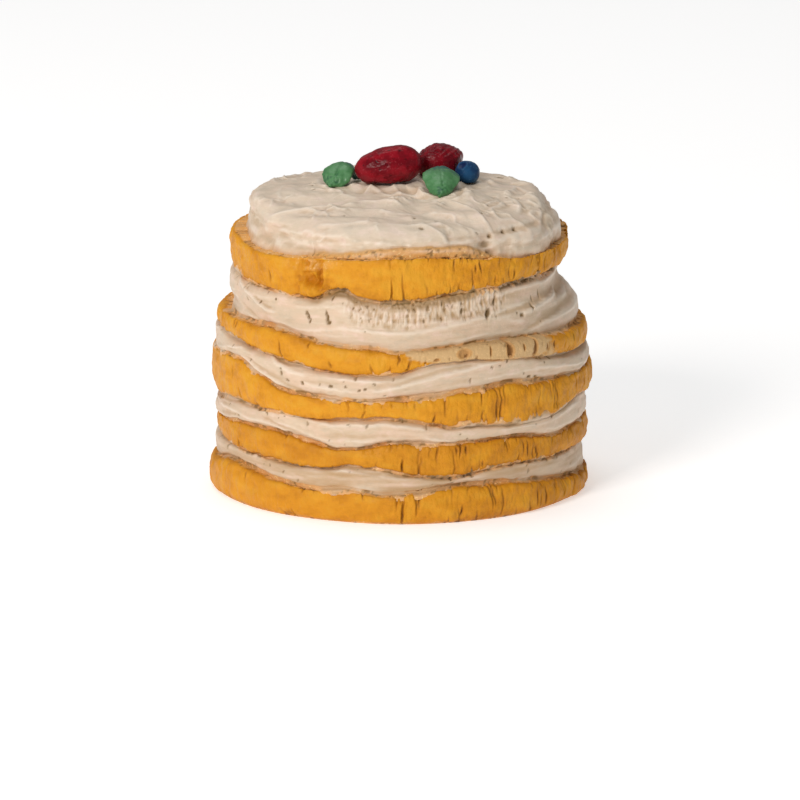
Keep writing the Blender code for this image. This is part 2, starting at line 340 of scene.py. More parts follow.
class Sheet(Surface):
    """A surface as a grid that closes on itself round the cake."""

    def __init__(self, base: Array, degrees: Array) -> None:
        """Takes the smooth grid.

        Args:
            base: Points in millimetres: columns round the cake, then rows.
            degrees: The angle of each column.
        """
        around = np.roll(base, -1, axis=0) - np.roll(base, 1, axis=0)
        normal = np.cross(around, np.gradient(base, axis=1))
        super().__init__(base, normal / np.maximum(np.linalg.norm(normal, axis=2, keepdims=True), TINY))
        self.degrees = degrees
        self.ring = ring_points(degrees, SEAM_RADIUS, 0.0)

    def arc(self, degrees: float) -> Array:
        """How far each column lies round the cake from an angle, in millimetres."""
        return np.radians(turned(self.degrees - degrees)) * SEAM_RADIUS

    def near(self, degrees: float, reach: float) -> Array:
        """The numbers of the columns within a number of millimetres of an angle."""
        return np.nonzero(np.abs(self.arc(degrees)) < reach)[0]

    def softened(self, values: Array, reach: int) -> Array:
        """Smooths values over their neighbours.

        Args:
            values: A value for each point of the grid.
            reach: How many columns and rows count on each side.

        Returns:
            The mean round each point.
        """
        total = sum(np.roll(values, shift, axis=0) for shift in range(-reach, reach + 1)) / (2 * reach + 1)
        padded = np.pad(total, ((0, 0), (reach, reach)), mode="edge")
        rows = values.shape[1]
        return sum(padded[:, shift : shift + rows] for shift in range(2 * reach + 1)) / (2 * reach + 1)

    def show_relief(self, shade: float, shallow: float, deep: float) -> None:
        """Marks what stands proud as ridges with a painted highlight and what lies low with painted shade.

        Args:
            shade: How strong the shade is.
            shallow: The depth at which it begins, in millimetres.
            deep: The depth at which it is full.
        """
        proud = self.relief - self.softened(self.relief, 3)
        # painted highlight on what stands proud
        self.mark("ridge", eased(0.04, 0.22, proud))
        # painted shade in what lies low
        self.mark("shade", shade * eased(-shallow, -deep, proud))

    def mesh_object(self, name: str, low_middle: float, high_middle: float) -> bpy.types.Object:
        """Makes the closed mesh, with its marks as attributes.

        Args:
            name: The object's name.
            low_middle: Height on the axis of the surface that closes it below.
            high_middle: Height on the axis of the surface that closes it above.

        Returns:
            The linked object.
        """
        grid = self.points()
        columns, rows = grid.shape[:2]
        corners = np.concatenate([grid.reshape(-1, 3), [[0, 0, low_middle], [0, 0, high_middle]]])
        number = np.arange(columns * rows).reshape(columns, rows)
        beside = np.roll(number, -1, axis=0)
        quads = np.stack([number[:, :-1], beside[:, :-1], beside[:, 1:], number[:, 1:]], axis=2)
        low = np.stack([beside[:, 0], number[:, 0], np.full(columns, columns * rows)], axis=1)
        high = np.stack([number[:, -1], beside[:, -1], np.full(columns, columns * rows + 1)], axis=1)
        faces = quads.reshape(-1, 4).tolist() + low.tolist() + high.tolist()
        marks = {key: np.append(mark.reshape(-1), [0.0, 0.0]) for key, mark in self.marks.items()}
        return linked_mesh(name, corners, faces, marks)


def linked_mesh(name: str, corners: Array, faces: Iterable, marks: dict[str, Array]) -> bpy.types.Object:
    """Makes a smooth mesh object.

    Args:
        name: The object's name.
        corners: Its points in millimetres.
        faces: The corner numbers of each face.
        marks: A value for each corner under each mark's name.

    Returns:
        The linked object.
    """
    mesh = bpy.data.meshes.new(name)
    mesh.from_pydata((corners * MM).tolist(), [], list(faces))
    mesh.validate()
    mesh.shade_smooth()
    for key, values in marks.items():
        attribute = mesh.attributes.new(key, "FLOAT", "POINT")
        attribute.data.foreach_set("value", np.ascontiguousarray(values, dtype=np.float32))
    made = bpy.data.objects.new(name, mesh)
    bpy.context.scene.collection.objects.link(made)
    return made


class Wire:
    """A shader socket's value, which Python's operators work on."""

    def __init__(self, bench: "Bench", socket: bpy.types.NodeSocket) -> None:
        """Wraps a socket of a bench's material."""
        self.bench = bench
        self.socket = socket

    def _maths(self, operation: str, first: Socket, second: Socket) -> "Wire":
        """A Math node on two values."""
        return self.bench.node("ShaderNodeMath", {"operation": operation}, {0: first, 1: second})

    def __add__(self, other: Socket) -> "Wire":
        """This value plus another."""
        return self._maths("ADD", self, other)

    def __sub__(self, other: Socket) -> "Wire":
        """This value less another."""
        return self._maths("SUBTRACT", self, other)

    def __rsub__(self, other: Socket) -> "Wire":
        """Another value less this one."""
        return self._maths("SUBTRACT", other, self)

    def __mul__(self, other: Socket) -> "Wire":
        """This value times another."""
        return self._maths("MULTIPLY", self, other)

    __radd__ = __add__
    __rmul__ = __mul__

    def ramp(self, low: float, high: float) -> "Wire":
        """A smooth run from 0 where this value is low to 1 where it is high."""
        inputs = {"Value": self, "From Min": low, "From Max": high}
        return self.bench.node("ShaderNodeMapRange", {"interpolation_type": "SMOOTHSTEP"}, inputs)


@dataclass(frozen=True)
class Finish:
    """How shiny a paint is."""

    roughness: float
    shine: float
    varnish: float = 0.0
    varnish_roughness: float = 0.2


class Bench:
    """Builds the nodes of one material."""

    def __init__(self, name: str) -> None:
        """Starts a material with nothing but its output and its shader."""
        self.material = bpy.data.materials.new(name)
        self.material.use_nodes = True
        self.tree = self.material.node_tree
        self.shader = self.tree.nodes["Principled BSDF"]
        self.place = self.node("ShaderNodeTexCoord", {}, {}, "Object")

    def node(self, kind: str, settings: dict, inputs: dict, output: Union[int, str] = 0) -> Wire:
        """Adds a node.

        Args:
            kind: The node's type.
            settings: Its properties, which are set first.
            inputs: The value or wire of each socket, by number or name.
            output: The socket to hand on.

        Returns:
            The chosen output.
        """
        made = self.tree.nodes.new(kind)
        for key, value in settings.items():
            setattr(made, key, value)
        for key, value in inputs.items():
            self.feed(made.inputs[key], value)
        return Wire(self, made.outputs[output])

    def feed(self, socket: bpy.types.NodeSocket, value: Socket) -> None:
        """Sets a socket to a value or joins it to a wire.

        Args:
            socket: The node's input.
            value: A number, a colour or vector, or a wire.
        """
        if isinstance(value, Wire):
            self.tree.links.new(value.socket, socket)
        elif isinstance(value, tuple) and len(socket.default_value) > len(value):
            socket.default_value = (*value, 1.0)
        else:
            socket.default_value = value

    def mark(self, name: str) -> Wire:
        """One of the mesh's own marks."""
        return self.node("ShaderNodeAttribute", {"attribute_name": name}, {}, "Fac")

    def grain(self, size: Size, detail: float = 2.0, roughness: float = 0.5) -> Wire:
        """Adds noise that is fixed to the object.

        Args:
            size: How long its grains are along x, y and z, in millimetres.
            detail: How many finer grains it has.
            roughness: How strong they are.

        Returns:
            The noise, from 0 to 1.
        """
        scale = tuple(1.0 / (side * MM) for side in size)
        stretched = self.node("ShaderNodeVectorMath", {"operation": "MULTIPLY"}, {0: self.place, 1: scale})
        inputs = {"Vector": stretched, "Scale": 1.0, "Detail": detail, "Roughness": roughness}
        return self.node("ShaderNodeTexNoise", {}, inputs, "Fac")

    def blend(self, share: Socket, first: Socket, second: Socket) -> Wire:
        """Mixes two colours."""
        return self.node("ShaderNodeMix", {"data_type": "RGBA"}, {0: share, 6: first, 7: second}, 2)

    def finish(
        self, colour: Socket, roughness: Socket, height: Wire, depth: float, look: Finish
    ) -> bpy.types.Material:
        """Joins the shader.

        Args:
            colour: Base colour.
            roughness: Roughness.
            height: Fine relief, from 0 to 1.
            depth: What a height of 1 measures, in millimetres.
            look: How shiny the paint is.

        Returns:
            The material.
        """
        self.feed(self.shader.inputs["Base Color"], colour)
        self.feed(self.shader.inputs["Roughness"], roughness)
        bump = self.node("ShaderNodeBump", {}, {"Strength": 1.0, "Distance": depth * MM, "Height": height})
        self.feed(self.shader.inputs["Normal"], bump)
        self.shader.inputs["Specular IOR Level"].default_value = look.shine
        self.shader.inputs["Coat Weight"].default_value = look.varnish
        self.shader.inputs["Coat Roughness"].default_value = look.varnish_roughness
        return self.material


@dataclass(frozen=True)
class CrepePaint:
    """Golden paint, browned in its cracks, ochre with painted shade towards its edges, in the torn hollow and
    over the lower crepes, and peach where cream was wiped over them and as a painted highlight on the torn
    lumps.
    """

    golden: Colour = (0.68, 0.285, 0.012)
    yellow: Colour = (0.72, 0.350, 0.024)
    ochre: Colour = (0.47, 0.170, 0.006)
    browned: Colour = (0.18, 0.068, 0.010)
    peach: Colour = (0.72, 0.375, 0.125)
    film: Colour = (0.62, 0.41, 0.20)
    fleck: Colour = (0.86, 0.60, 0.30)
    look: Finish = Finish(0.38, 0.20)

    def material(self) -> bpy.types.Material:
        """Makes the material.

        Returns:
            The material, with all its nodes.
        """
        bench = Bench(Slot.CREPE.value)
        mottle = bench.grain((12.0, 12.0, 7.0), 3.0, 0.6)
        speckle = bench.grain((1.2, 1.2, 1.6), 2.0)
        flecks = bench.grain((0.9, 0.9, 0.7), 1.0)
        colour = bench.blend(mottle.ramp(0.52, 0.34) * 0.6, self.golden, self.yellow)
        colour = bench.blend(mottle.ramp(0.48, 0.72) * 0.6, colour, self.ochre)
        colour = bench.blend(speckle.ramp(0.58, 0.80) * 0.3, colour, self.ochre)
        # ochre: darker paint round the cracks, chips and slots, and painted shade towards the edges, in the
        # torn hollow and its dents and over the lower crepes
        colour = bench.blend(bench.mark("hollow"), colour, self.ochre)
        rim = bench.mark("rim")
        wash = bench.mark("wash")
        # peach where cream was wiped over the edges, and a painted highlight on the upper lumps of the tear
        colour = bench.blend(rim * (0.55 + speckle * 0.6), colour, self.peach)
        colour = bench.blend(wash, colour, self.film)
        colour = bench.blend((rim + wash * 0.3) * flecks.ramp(0.58, 0.68), colour, self.fleck)
        # browned cracks, chips, creases and crumbs, and painted shade in the notch of the top crepe
        colour = bench.blend(bench.mark("crack"), colour, self.browned)
        rough = self.look.roughness + speckle * 0.2
        height = bench.grain((1.3, 1.3, 1.8), 3.0, 0.6)
        return bench.finish(colour, rough, height, 0.4, self.look)


@dataclass(frozen=True)
class CreamPaint:
    """Beige cream paint: tan with painted shade in its hollows and under the crepes and with its own tan
    towards its lower seams, and paler with a painted highlight on its ridges.
    """

    cream: Colour = (0.655, 0.525, 0.385)
    warm: Colour = (0.70, 0.530, 0.390)
    pink: Colour = (0.80, 0.610, 0.520)
    grey: Colour = (0.53, 0.455, 0.345)
    pale: Colour = (0.86, 0.76, 0.64)
    tan: Colour = (0.46, 0.305, 0.165)
    peach: Colour = (0.69, 0.37, 0.145)
    gilt: Colour = (0.66, 0.315, 0.05)
    fleck: Colour = (0.87, 0.62, 0.27)
    pore: Colour = (0.19, 0.11, 0.033)
    look: Finish = Finish(0.38, 0.42)

    def material(self) -> bpy.types.Material:
        """Makes the material.

        Returns:
            The material, with all its nodes.
        """
        bench = Bench(Slot.CREAM.value)
        patches = bench.grain((15.0, 15.0, 6.0), 2.0)
        blotches = bench.grain((7.0, 7.0, 4.0), 3.0, 0.6)
        streaks = bench.grain((9.0, 9.0, 1.2), 3.0, 0.6)
        speckle = bench.grain((0.9, 0.9, 0.9), 2.0)
        dots = speckle.ramp(0.68, 0.75) * bench.grain((12.0, 12.0, 6.0), 1.0).ramp(0.52, 0.66)
        thin = bench.mark("thin")
        colour = bench.blend(patches.ramp(0.38, 0.66), self.cream, self.warm)
        colour = bench.blend(blotches.ramp(0.52, 0.70) * 0.55, colour, self.pink)
        colour = bench.blend(blotches.ramp(0.48, 0.32) * 0.45, colour, self.grey)
        colour = bench.blend(streaks.ramp(0.5, 0.75) * 0.2, colour, self.pale)
        colour = bench.blend(streaks.ramp(0.44, 0.24) * 0.2, colour, self.tan)
        # painted light: what faces up is paler, as if lit from above
        colour = bench.blend(bench.mark("white") * 0.4, colour, self.pale)
        # painted highlight on the ridges
        colour = bench.blend(bench.mark("ridge") * 0.45, colour, self.pale)
        # tan: painted shade in the hollows and under the crepes, and the cream's own tan at its lower seams
        # and along the ledge
        colour = bench.blend(bench.mark("shade"), colour, self.tan)
        colour = bench.blend(thin, colour, self.peach)
        colour = bench.blend(bench.mark("gilt"), colour, self.gilt)
        colour = bench.blend(thin * speckle.ramp(0.60, 0.70), colour, self.fleck)
        colour = bench.blend(dots * 0.5, colour, self.tan)
        # pore colour: dark pores and crumbs, and in the band under the top crepe a painted shadow
        colour = bench.blend(bench.mark("pore"), colour, self.pore)
        rough = self.look.roughness + streaks * 0.22 - bench.mark("ridge") * 0.1
        height = streaks * 0.7 + speckle * 0.4
        return bench.finish(colour, rough, height, 0.2, self.look)


@dataclass(frozen=True)
class FruitPaint:
    """Glossy fruit paint with dark marks and paler spots: worn spots and bloom, and on the strawberries'
    lower part a painted reflection of the cream.
    """

    slot: Slot
    fresh: Colour
    deep: Colour
    mark: Colour
    worn_and_reflected: Colour
    look: Finish = Finish(0.24, 0.10)

    def material(self) -> bpy.types.Material:
        """Makes the material.

        Returns:
            The material, with all its nodes.
        """
        bench = Bench(self.slot.value)
        patches = bench.grain((5.0, 5.0, 5.0), 2.0).ramp(0.38, 0.62)
        speckle = bench.grain((0.7, 0.7, 0.7), 2.0)
        colour = bench.blend(patches * 0.8, self.fresh, self.deep)
        # paler spots and bloom, and on a strawberry's lower part a painted reflection of the cream
        colour = bench.blend(bench.mark("bloom") * 0.6, colour, self.worn_and_reflected)
        colour = bench.blend(speckle.ramp(0.64, 0.72) * 0.6, colour, self.worn_and_reflected)
        colour = bench.blend(bench.mark("seed"), colour, self.mark)
        rough = self.look.roughness + bench.mark("bloom") * 0.25
        return bench.finish(colour, rough, speckle, 0.10, self.look)


@dataclass(frozen=True)
class LeafPaint:
    """Leaf paint: light green on top, teal towards the stem and dark in its veins."""

    green: Colour = (0.060, 0.205, 0.070)
    light: Colour = (0.105, 0.27, 0.115)
    teal: Colour = (0.010, 0.085, 0.075)
    vein: Colour = (0.006, 0.055, 0.035)
    look: Finish = Finish(0.36, 0.35, 0.1)

    def material(self) -> bpy.types.Material:
        """Makes the material.

        Returns:
            The material, with all its nodes.
        """
        bench = Bench(Slot.LEAF.value)
        patches = bench.grain((4.0, 4.0, 4.0), 2.0).ramp(0.4, 0.62)
        speckle = bench.grain((0.8, 0.8, 0.8), 2.0)
        colour = bench.blend(patches * 0.7, self.green, self.light)
        colour = bench.blend(bench.mark("stem"), colour, self.teal)
        colour = bench.blend(bench.mark("vein") * 0.8, colour, self.vein)
        return bench.finish(colour, self.look.roughness + speckle * 0.2, speckle, 0.10, self.look)


def dress(piece: bpy.types.Object, node: str, material: bpy.types.Material) -> None:
    """Gives a piece its paint and ties it to the node that it stands for.

    Args:
        piece: The finished mesh object.
        node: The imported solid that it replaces.
        material: Its paint.
    """
    piece.data.materials.append(material)
    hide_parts(node)
    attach(piece, BODY)
    log.info("%s stands for %s with %d faces", piece.name, node, len(piece.data.polygons))


@dataclass(frozen=True)
class Smear:
    """One pass of the palette knife: a shallow trough with cream pushed up along its edges."""

    length: float
    width: float
    trough: float
    ridge: float
    tilt: float
    flatten: float = 0.8
    ridge_width: float = 0.22
    streak: float = 0.05

    def press(self, relief: Array, along: Array, across: Array) -> Array:
        """Presses the knife into a relief.

        Args:
            relief: The relief so far, in millimetres.
            along: How far each point lies along the pass from its middle.
            across: How far each point lies beside it.

        Returns:
            The relief after the pass.
        """
        near = (np.abs(along) < 0.55 * self.length) & (np.abs(across) < 0.9 * self.width)
        along, across, kept = along[near], across[near], relief[near]
        spots = np.stack([across, along, np.full(len(along), self.length)], axis=-1)
        wavy = across + 0.8 * Grain(7).at(spots, (12.0, 12.0, 12.0))
        side = wavy / (self.width / 2)
        ends = eased(1.0, 0.6, np.abs(along) / (self.length / 2))
        inside = eased(1.2, 0.8, np.abs(side)) * ends
        floor = self.tilt * side - self.trough * np.clip(1.0 - side * side, 0.0, 1.0)
        floor += self.streak * Grain(8).rough(spots, (1.3, 22.0, 9.0), 2)
        beyond = side * math.copysign(1.0, self.tilt) - 1.0
        lip = np.where(beyond > 0.0, hump(beyond / (2.2 * self.ridge_width)), hump(beyond / self.ridge_width))
        ragged = 0.75 + 0.5 * Grain(9).at(spots, (5.0, 5.0, 5.0))
        result = relief.copy()
        result[near] = kept + inside * (floor - self.flatten * kept) + self.ridge * lip * ends * ragged
        return result


@dataclass(frozen=True)
class SidePass:
    """A pass of the knife along the side: where its middle lies and how steeply it climbs to the right."""

    degrees: float
    share: float
    slope: float
    knife: Smear
    bow: float = 0.0

    def press(self, sheet: Sheet, low: Array, tall: Array) -> None:
        """Presses this pass into a layer's side.

        Args:
            sheet: The layer's surface.
            low: The height of the side's foot in each column.
            tall: The height of the side itself in each column.
        """
        along = sheet.arc(self.degrees)[:, None] + np.zeros_like(sheet.relief)
        middle = low + tall * self.share + self.slope * along + self.bow * along**2
        sheet.relief = self.knife.press(sheet.relief, along, sheet.base[..., 2] - middle)


@dataclass(frozen=True)
class Seams:
    """What happens at the seams between the layers, the same for the two layers that meet there."""

    wander: float = 0.7
    ragged: float = 0.3
    fill: float = 2.2
    sag: float = 2.2
    seed: int = 400
    filled: int = 9
    step: float = 40.0

    def shift(self, seam: int, degrees: Array) -> Array:
        """How far a seam rises or falls, beyond the solid's own waves.

        Args:
            seam: The number of the seam.
            degrees: The angle of each column.

        Returns:
            Millimetres for each column.
        """
        ring = ring_points(degrees, SEAM_RADIUS, self.step * seam)
        grain = Grain(self.seed + seam)
        sides = self.sag * hump((np.abs(turned(degrees)) - 86.0) / 28.0) if seam == self.filled else 0.0
        rise = self.wander * grain.rough(ring, (16.0,) * 3) + self.ragged * grain.at(ring, (2.6,) * 3)
        return rise - sides

    def filling(self, seam: int, degrees: Array) -> Array:
        """How far cream fills the crevice at a seam.

        Args:
            seam: The number of the seam. One of them is filled nearly all round, the others here and there.
            degrees: The angle of each column.

        Returns:
            Millimetres for each column.
        """
        if seam == self.filled:
            return self.fill * (0.35 + 0.65 * eased(-62.0, -30.0, turned(degrees)))
        ring = ring_points(degrees, SEAM_RADIUS, self.step * seam)
        return self.fill * eased(-0.4, 0.5, Grain(self.seed + 90 + seam).rough(ring, (22.0,) * 3))


class SideShape:
    """The smooth side of a packed layer, between its two seams."""

    seams = Seams()

    def __init__(self, node: str, seam: int) -> None:
        """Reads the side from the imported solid.

        Args:
            node: The layer's name.
            seam: The number of its lower seam, from 0 at the table.
        """
        self.node = node
        self.seam = seam
        self.side = SolidColumns(node).side(layer_corners)
        self.low_middle = float(self.side[:, 0, 1].mean())
        self.high_middle = float(self.side[:, -1, 1].mean())

    def at(self, degrees: Array, shares: Array) -> Array:
        """The side at any angles and heights.

        Args:
            degrees: The angle of each column.
            shares: Each row's place, from 0 at the lower seam to 1 at the upper one.

        Returns:
            Radius and height for each column and row.
        """
        fine = along_curve(self.side, degrees / FULL_TURN * len(self.side), closed=True)
        places = shares * (self.side.shape[1] - 1)
        fine = along_curve(fine.transpose(1, 0, 2), places, closed=False).transpose(1, 0, 2)
        for seam, end in ((self.seam, 0.0), (self.seam + 1, 1.0)):
            if seam:
                weight = eased(0.55, 0.0, np.abs(shares - end))[None, :]
                fine[..., 1] += self.seams.shift(seam, degrees)[:, None] * weight
                fine[..., 0] += self.seams.filling(seam, degrees)[:, None] * weight**2
        return fine


@dataclass
class StackLayer:
    """A layer of the stack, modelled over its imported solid."""

    shape: SideShape
    columns: int
    rows: int
    seed: int

    def __post_init__(self) -> None:
        """Starts this layer's own random draws and places its columns and rows."""
        self.random = np.random.default_rng(self.seed)
        self.degrees = np.arange(self.columns) * FULL_TURN / self.columns
        self.share = np.linspace(0.0, 1.0, self.rows)[None, :]

    def own_side(self) -> Array:
        """Radius and height over the layer's own side."""
        return self.shape.at(self.degrees, self.share[0])

    def extent(self) -> tuple[Array, Array]:
        """The height of the side's foot and the height of the side itself, for each column."""
        own = self.own_side()[..., 1]
        return own[:, :1], own[:, -1:] - own[:, :1]

    def finish(self, sheet: Sheet, slot: Slot, material: bpy.types.Material) -> None:
        """Makes and dresses the layer's mesh."""
        piece = sheet.mesh_object(self.shape.node + LOOKS, self.shape.low_middle, self.shape.high_middle)
        dress(piece, self.shape.node, material)

    def pits(self, sheet: Sheet, spots: list["Pit"], mark: str) -> None:
        """Presses small holes into the side and marks them for the paint.

        Args:
            sheet: The layer's surface.
            spots: The holes, or swellings where their depth is negative.
            mark: The mark that they add to.
        """
        low, tall = self.extent()
        for spot in spots:
            columns = sheet.near(spot.degrees, 1.8 * spot.width + 1.0)
            away = sheet.arc(spot.degrees)[columns][:, None] / (spot.width / 2)
            rise = sheet.base[columns, :, 2] - low[columns] - spot.share * tall[columns]
            away = away + spot.lean * rise / spot.tall
            hole = hump(np.hypot(away, rise / (spot.tall / 2)) ** spot.crisp)
            sheet.relief[columns] -= spot.depth * hole
            amount = np.zeros(sheet.relief.shape)
            amount[columns] = spot.dark * eased(0.25, 0.75, hole)
            sheet.mark(mark, amount)


@dataclass(frozen=True)
class Pit:
    """A small hole, at an angle and a share of the layer's height: how large, deep and dark it is."""

    degrees: float
    share: float
    width: float
    tall: float
    depth: float = 0.45
    dark: float = 0.9
    lean: float = 0.0
    crisp: float = 1.8


@dataclass(frozen=True)
class CrackPattern:
    """How a crepe's side is cracked."""

    spacing: float = 1.9
    left_share: float = 0.14
    back_share: float = 0.7
    depth: float = 0.85
    width: float = 0.40
    pillow: float = 0.22
    fork_share: float = 0.4

    def density(self, degrees: float) -> float:
        """How thickly the cracks lie at an angle.

        Args:
            degrees: The angle.

        Returns:
            The share of the cracks that are kept there.
        """
        if -4.0 < degrees < 110.0:
            return 1.0
        return self.left_share if -100.0 < degrees <= -4.0 else self.back_share


@dataclass
class Crepe(StackLayer):
    """A thick crepe with a rounded, cracked side."""

    cracks: CrackPattern = CrackPattern()
    ledge: float = 0.10
    # How strong the painted shade on the upper edge is.
    toast: float = 0.8
    # How much painted shade darkens the whole crepe, most on the lower crepes.
    tone: float = 0.0
    washed: tuple[float, float] = (0.0, 0.0)
    slots: list[Pit] = field(default_factory=list)
    dents: list[Pit] = field(default_factory=list)
    torn: bool = False
    border: float = 0.035
    belly: float = 1.1
    belly_share: float = 0.42
    roughness: tuple[Roughness, ...] = (
        Roughness(0.6, (20.0, 20.0, 14.0), 2),
        Roughness(0.75, (5.5, 5.5, 5.0), 3, 3),
        Roughness(0.34, (2.0, 2.0, 3.0), 2, 4),
    )

    def build(self, material: bpy.types.Material) -> None:
        """Builds the crepe.

        Args:
            material: The crepes' paint.
        """
        side = self.own_side()
        sheet = Sheet(round_grid(self.degrees, side[..., 0], side[..., 1]), self.degrees)
        sheet.relief += self.belly * (self.belly_share - (2.0 * self.share - 1.0) ** 2)
        sheet.roughen(self.seed, self.roughness)
        self._toast(sheet)
        self._chip(sheet)
        self._crack(sheet)
        if self.torn:
            self._tear(sheet)
        self._rims(sheet)
        if self.washed != (0.0, 0.0):
            self._wash(sheet)
        if self.shape.seam == 0:
            sheet.relief *= eased(0.0, 0.3, self.share)
        self.finish(sheet, Slot.CREPE, material)

    def _toast(self, sheet: Sheet) -> None:
        """Paints ochre shade on both edges, unevenly, and over the whole crepe by its own amount of painted
        shade.

        Args:
            sheet: The crepe's surface.
        """
        uneven = 0.6 + 0.7 * sheet.rough(self.seed + 17, (9.0, 9.0, 5.0))
        # painted shade towards both edges of the rounded side
        edges = eased(0.34, 0.0, self.share) + self.toast * eased(0.70, 1.0, self.share)
        sheet.mark("hollow", (0.9 * edges + self.tone) * uneven)

    def _chip(self, sheet: Sheet) -> None:
        """Makes the lower edge lumpy in places, with darker chips.

        Args:
            sheet: The crepe's surface.
        """
        lumps = sheet.rough(self.seed + 14, (3.6, 3.6, 3.0), 2)
        where = eased(0.0, 0.5, Grain(self.seed + 15).at(sheet.ring, (24.0,) * 3))
        edge = eased(0.42, 0.08, self.share) * where[:, None]
        sheet.relief += edge * (0.9 * lumps - 0.2)
        sheet.mark("hollow", 0.8 * edge * eased(-0.1, -0.45, lumps))
        sheet.mark("crack", 0.6 * edge * eased(-0.42, -0.62, lumps))

    def _rims(self, sheet: Sheet) -> None:
        """Marks the edges where cream was wiped over the crepe, with small pores and flecks along them.

        Args:
            sheet: The crepe's surface.
        """
        wobble = 0.5 + 0.5 * Grain(self.seed + 7).rough(sheet.ring, (9.0,) * 3, 4)[:, None]
        crumbs = sheet.rough(self.seed + 8, (1.6, 1.6, 1.1), 2)
        for end, reach in ((0.0, 0.10), (1.0, self.ledge)):
            away = np.abs(self.share - end) - 1.7 * reach * wobble
            near = eased(self.border, -self.border, away)
            border = hump(away / self.border)
            sheet.mark("rim", 0.95 * near)
            sheet.relief += 0.30 * crumbs * near - 0.22 * border
            sheet.mark("crack", 0.85 * eased(-0.22, -0.42, crumbs) * np.maximum(near * 0.7, border))

    def _crack(self, sheet: Sheet) -> None:
        """Draws the cracks: short and jagged, most of them open at an edge, some of them forked there.

        Args:
            sheet: The crepe's surface.
        """
        pattern, draw = self.cracks, self.random
        amount = np.zeros(sheet.relief.shape)
        spots = np.stack([self.share * 12.0, 0.0 * self.share, 0.0 * self.share], axis=-1)
        for number in range(int(2.0 * math.pi * SEAM_RADIUS / pattern.spacing)):
            degrees, chance = draw.uniform(-180.0, 180.0), draw.random()
            depth = pattern.depth * draw.uniform(0.35, 1.25)
            length = min(1.15, 0.12 + draw.gamma(2.0, 0.12))
            kind = draw.choice(3, p=[0.45, 0.25, 0.30])
            middle = draw.uniform(0.2, 0.8)
            slant, jag = draw.normal(0.0, 1.3), draw.uniform(0.6, 1.5)
            fork = draw.uniform(0.7, 2.2) if kind < 2 and draw.random() < pattern.fork_share else 0.0
            if chance > pattern.density(degrees):
                continue
            run = ((1.04 - self.share), self.share + 0.04, np.abs(self.share - middle) * 2.0)[kind] / length
            taper = np.where(run < 1.0, np.sqrt(np.clip(1.0 - run, 0.0, 1.0)), 0.0)
            wander = Grain(self.seed + 200 + number).rough(spots, (3.0, 1.0, 1.0))
            path = slant * (self.share - 0.5) + jag * wander
            columns = sheet.near(degrees, 7.0)
            for side in (-1.0, 1.0) if fork else (0.0,):
                branch = path + side * fork * np.clip(1.0 - run / 0.55, 0.0, 1.0)
                away = sheet.arc(degrees)[columns][:, None] - branch
                width = pattern.width * (0.6 + 0.6 * taper)
                groove = hump(away / width)
                lip = hump((np.abs(away) - 2.0 * width) / (1.1 * width))
                bed = hump(away / 2.0)
                sheet.relief[columns] += taper * (0.22 * depth * lip - depth * groove - pattern.pillow * bed)
                amount[columns] = np.maximum(amount[columns], 1.1 * taper * depth * groove)
        strength = 0.85 + 0.4 * Grain(self.seed + 11).at(sheet.base, (5.0, 5.0, 4.0))
        sheet.mark("crack", amount * strength)
        sheet.mark("hollow", 0.5 * sheet.softened(amount, 1))

    def _tear(self, sheet: Sheet) -> None:
        """Roughens the torn hollow at the front left of the top crepe and the notch in its lower edge, with
        painted shade in their low places and dents and a painted highlight on the upper lumps.

        Args:
            sheet: The crepe's surface.
        """
        arc = sheet.arc(TORN_ANGLE)[:, None]
        place = hump(arc / 9.5) ** 0.8 * eased(0.08, 0.3, self.share) * eased(0.98, 0.8, self.share)
        lumps = sheet.rough(self.seed + 21, (4.4, 4.4, 3.8))
        crumbs = sheet.rough(self.seed + 23, (2.2, 2.2, 2.0), 2)
        sheet.relief += place * (3.2 * lumps + 0.9 * crumbs - 0.3)
        # painted shade in the low places of the tear
        sheet.mark("hollow", 0.6 * place * eased(0.05, -0.2, lumps + 0.4 * crumbs))
        upper = eased(0.56, 0.74, self.share)
        # painted highlight on the upper lumps
        sheet.mark("rim", 0.9 * place * eased(-0.15, 0.1, lumps + 0.3 * crumbs) * upper)
        # painted shade in the dents
        self.pits(sheet, self.dents, "hollow")
        notch = hump(sheet.arc(NOTCH_ANGLE)[:, None] / 5.5) * eased(0.40, 0.05, self.share)
        sheet.relief += notch * (1.6 * sheet.rough(self.seed + 22, (3.0, 3.0, 3.0)) - 0.9)
        # painted shade in the low places of the notch
        sheet.mark("crack", 0.5 * notch * eased(0.1, -0.3, lumps))

